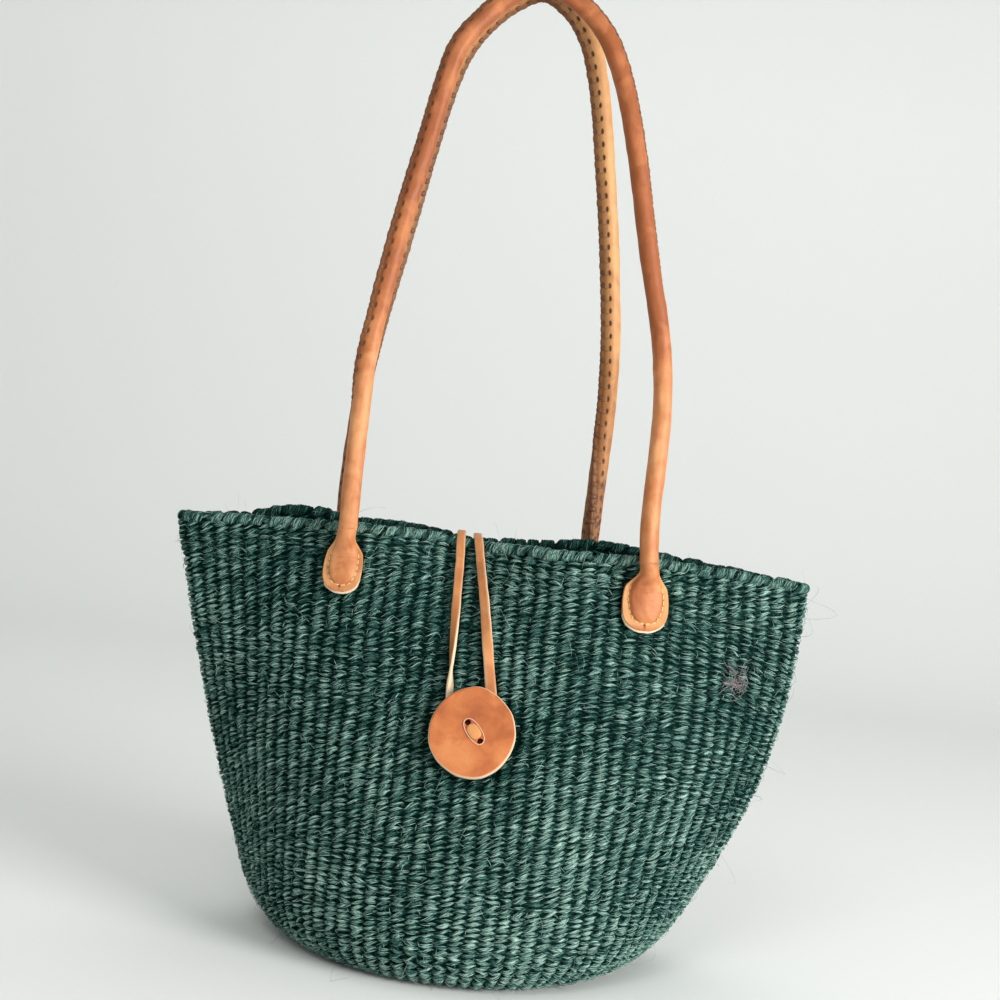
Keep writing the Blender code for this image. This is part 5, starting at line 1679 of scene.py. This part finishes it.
def make_tail(leg, material):
    """One of the thong's ends: over the back rim, down the wall, and through it to a knot."""
    x = LOOP_RIM_CENTRE + LOOP_RIM_HALF_SPACING * leg
    top = rim_top(x, BACK)
    stations = [(top + (0, -1.5 * MM, THONG_SNUG - 0.5 * MM), np.array((0.0, 0.0, 1.0)))]
    for a in (0, 25, 60, 95):
        outward = np.array((0, math.sin(math.radians(a)), math.cos(math.radians(a))))
        stations.append((top + outward * THONG_SNUG, outward))
    hole = wall_spot(x, float(top_height(x, True)) - TAIL_DROP, BACK)
    up, out, base = np.array(hole)[:3, 1:].T
    for rise, lift in ((9.0, 2.1), (4.0, 1.6)):
        stations.append((base + up * rise * MM + out * lift * MM, out))
    stations += [(base + up * 0.8 * MM + out * 0.9 * MM, unit(out - up)),
                 (base - out * 1.5 * MM, -up), (base - out * (WALL + 3 * MM), -up)]
    path, hints = through(stations, 70)
    wide = np.full((1, len(path)), THONG_WIDTH / 2)
    thick = np.full((1, len(path)), THONG_THICKNESS / 2)
    strip, quads, turned = sweep(path[None], hints[None], wide, thick, 12)
    cut = np.clip(np.abs(np.sin(turned)) * 3 - 1.9, 0, 1) + 0 * strip[..., 0]
    a = np.linspace(0, 2 * math.pi, 61)[:, None]
    reach = (2.0 + np.cos(3 * a)) * 0.8 * MM
    knot = (path[-1] - out * 1.2 * MM + np.array((1.0, 0, 0)) * reach * np.cos(2 * a)
            + up * reach * np.sin(2 * a) + out * np.sin(3 * a) * 0.9 * MM)
    width = np.full((1, len(knot)), 1.1 * MM)
    loops, more, _ = sweep(knot[None], out + 0 * knot[None], width, width * 0.9, 8)
    points = np.concatenate([strip.reshape(-1, 3), loops.reshape(-1, 3)])
    cut = np.concatenate([cut.ravel(), np.full(loops.size // 3, 0.3)])
    leather_piece(f"thong_tail_{LEG_NAMES[leg]}", points,
                  np.concatenate([quads, more + strip.size // 3]), material, cut,
                  "basket", "tan_thong", f"loop_anchor_{LEG_NAMES[leg]}")


def build_button_and_thong():
    """The button with its lace, the closing thong and the thong's two tails."""
    disc = leather_material("button_leather", (0.365, 0.092, 0.024), (0.51, 0.148, 0.041),
                            (0.62, 0.220, 0.072), raw=(0.72, 0.56, 0.38), mottle=1.7)
    strip = leather_material("thong_leather", (0.35, 0.115, 0.031), (0.48, 0.175, 0.054),
                             (0.58, 0.250, 0.093), raw=(0.72, 0.56, 0.38), mottle=1.3)
    lens = leather_material("eye_leather", (0.50, 0.175, 0.036), (0.64, 0.26, 0.065),
                            (0.76, 0.38, 0.125), raw=(0.80, 0.50, 0.33))
    dark = leather_material("lace_shadow", (0.06, 0.015, 0.008), (0.09, 0.025, 0.012),
                            (0.13, 0.04, 0.02))
    make_button(disc, lens, dark)
    make_thong(strip)
    for leg in (-1, 1):
        make_tail(leg, strip)


# Stage: the camera is fitted to the photograph

CAMERA_PLACE = (0.0, -1.079, 0.309)
CAMERA_PITCH, CAMERA_ROLL = math.radians(2.27), math.radians(6.65)
CAMERA_LENS, CAMERA_SENSOR = 65.5, 36.0
FLOOR_FRONT, FLOOR_BACK = -3.0, 1.2
BACKDROP_HALF_WIDTH, BACKDROP_HEIGHT, BACKDROP_RADIUS = 4.0, 4.0, 0.9


def plain(name, colour, roughness):
    """A plain surface with the faintest of clouds."""
    n = Nodes(name)
    grain = n.noise(n.place(), 3.0, detail=3.0)
    tint = n.mix(n.rescale(grain, 0.3, 0.7, 0.0, 0.03), colour, tuple(c * 0.9 for c in colour))
    return n.finish(tint, roughness)


def make_stage():
    """A pale floor that sweeps up behind the basket."""
    profile = [(FLOOR_FRONT, 0.0), (FLOOR_BACK, 0.0)]
    for a in math.pi / 2 * np.arange(1, 13) / 12:
        profile.append((FLOOR_BACK + BACKDROP_RADIUS * math.sin(a),
                        BACKDROP_RADIUS - BACKDROP_RADIUS * math.cos(a)))
    profile.append((FLOOR_BACK + BACKDROP_RADIUS, BACKDROP_HEIGHT))
    points = np.array([(x, y, z) for y, z in profile
                       for x in (-BACKDROP_HALF_WIDTH, 0.0, BACKDROP_HALF_WIDTH)])
    add_mesh("backdrop", points, grid_quads(len(profile), 3, False, False),
                      plain("pale_backdrop", (0.885, 0.893, 0.868), 0.9))


def make_camera():
    """The camera, which looks level along the basket, a little down, and leans."""
    data = bpy.data.cameras.new("camera")
    data.lens = CAMERA_LENS
    data.sensor_width = CAMERA_SENSOR
    data.clip_start = 0.05
    camera = bpy.data.objects.new("camera", data)
    bpy.context.scene.collection.objects.link(camera)
    camera.location = CAMERA_PLACE
    level = Matrix.Rotation(math.pi / 2 - CAMERA_PITCH, 4, "X")
    camera.rotation_euler = (level @ Matrix.Rotation(CAMERA_ROLL, 4, "Z")).to_euler()
    bpy.context.scene.camera = camera


def add_area(name, place, size, energy):
    """A soft white lamp that shines at the middle of the object."""
    data = bpy.data.lights.new(name, "AREA")
    data.size = size
    data.energy = energy
    light = bpy.data.objects.new(name, data)
    bpy.context.scene.collection.objects.link(light)
    light.location = place
    aim = Vector((0.0, 0.0, 0.25)) - Vector(place)
    light.rotation_euler = aim.to_track_quat("-Z", "Y").to_euler()


def make_lights():
    """Three soft lamps and an even pale sky."""
    add_area("key", (-0.4, -1.5, 1.4), 0.8, 8)
    add_area("fill", (1.6, -1.2, 0.5), 1.0, 50)
    add_area("top", (0.2, 0.6, 2.0), 1.4, 6)
    world = bpy.data.worlds.new("world")
    bpy.context.scene.world = world
    world.use_nodes = True
    background = world.node_tree.nodes["Background"]
    background.inputs[0].default_value = (0.92, 0.96, 0.97, 1)
    background.inputs[1].default_value = 0.45
    bpy.context.scene.view_settings.view_transform = "Standard"


make_camera()
make_stage()
make_lights()
build_basket()
build_handles()
build_button_and_thong()
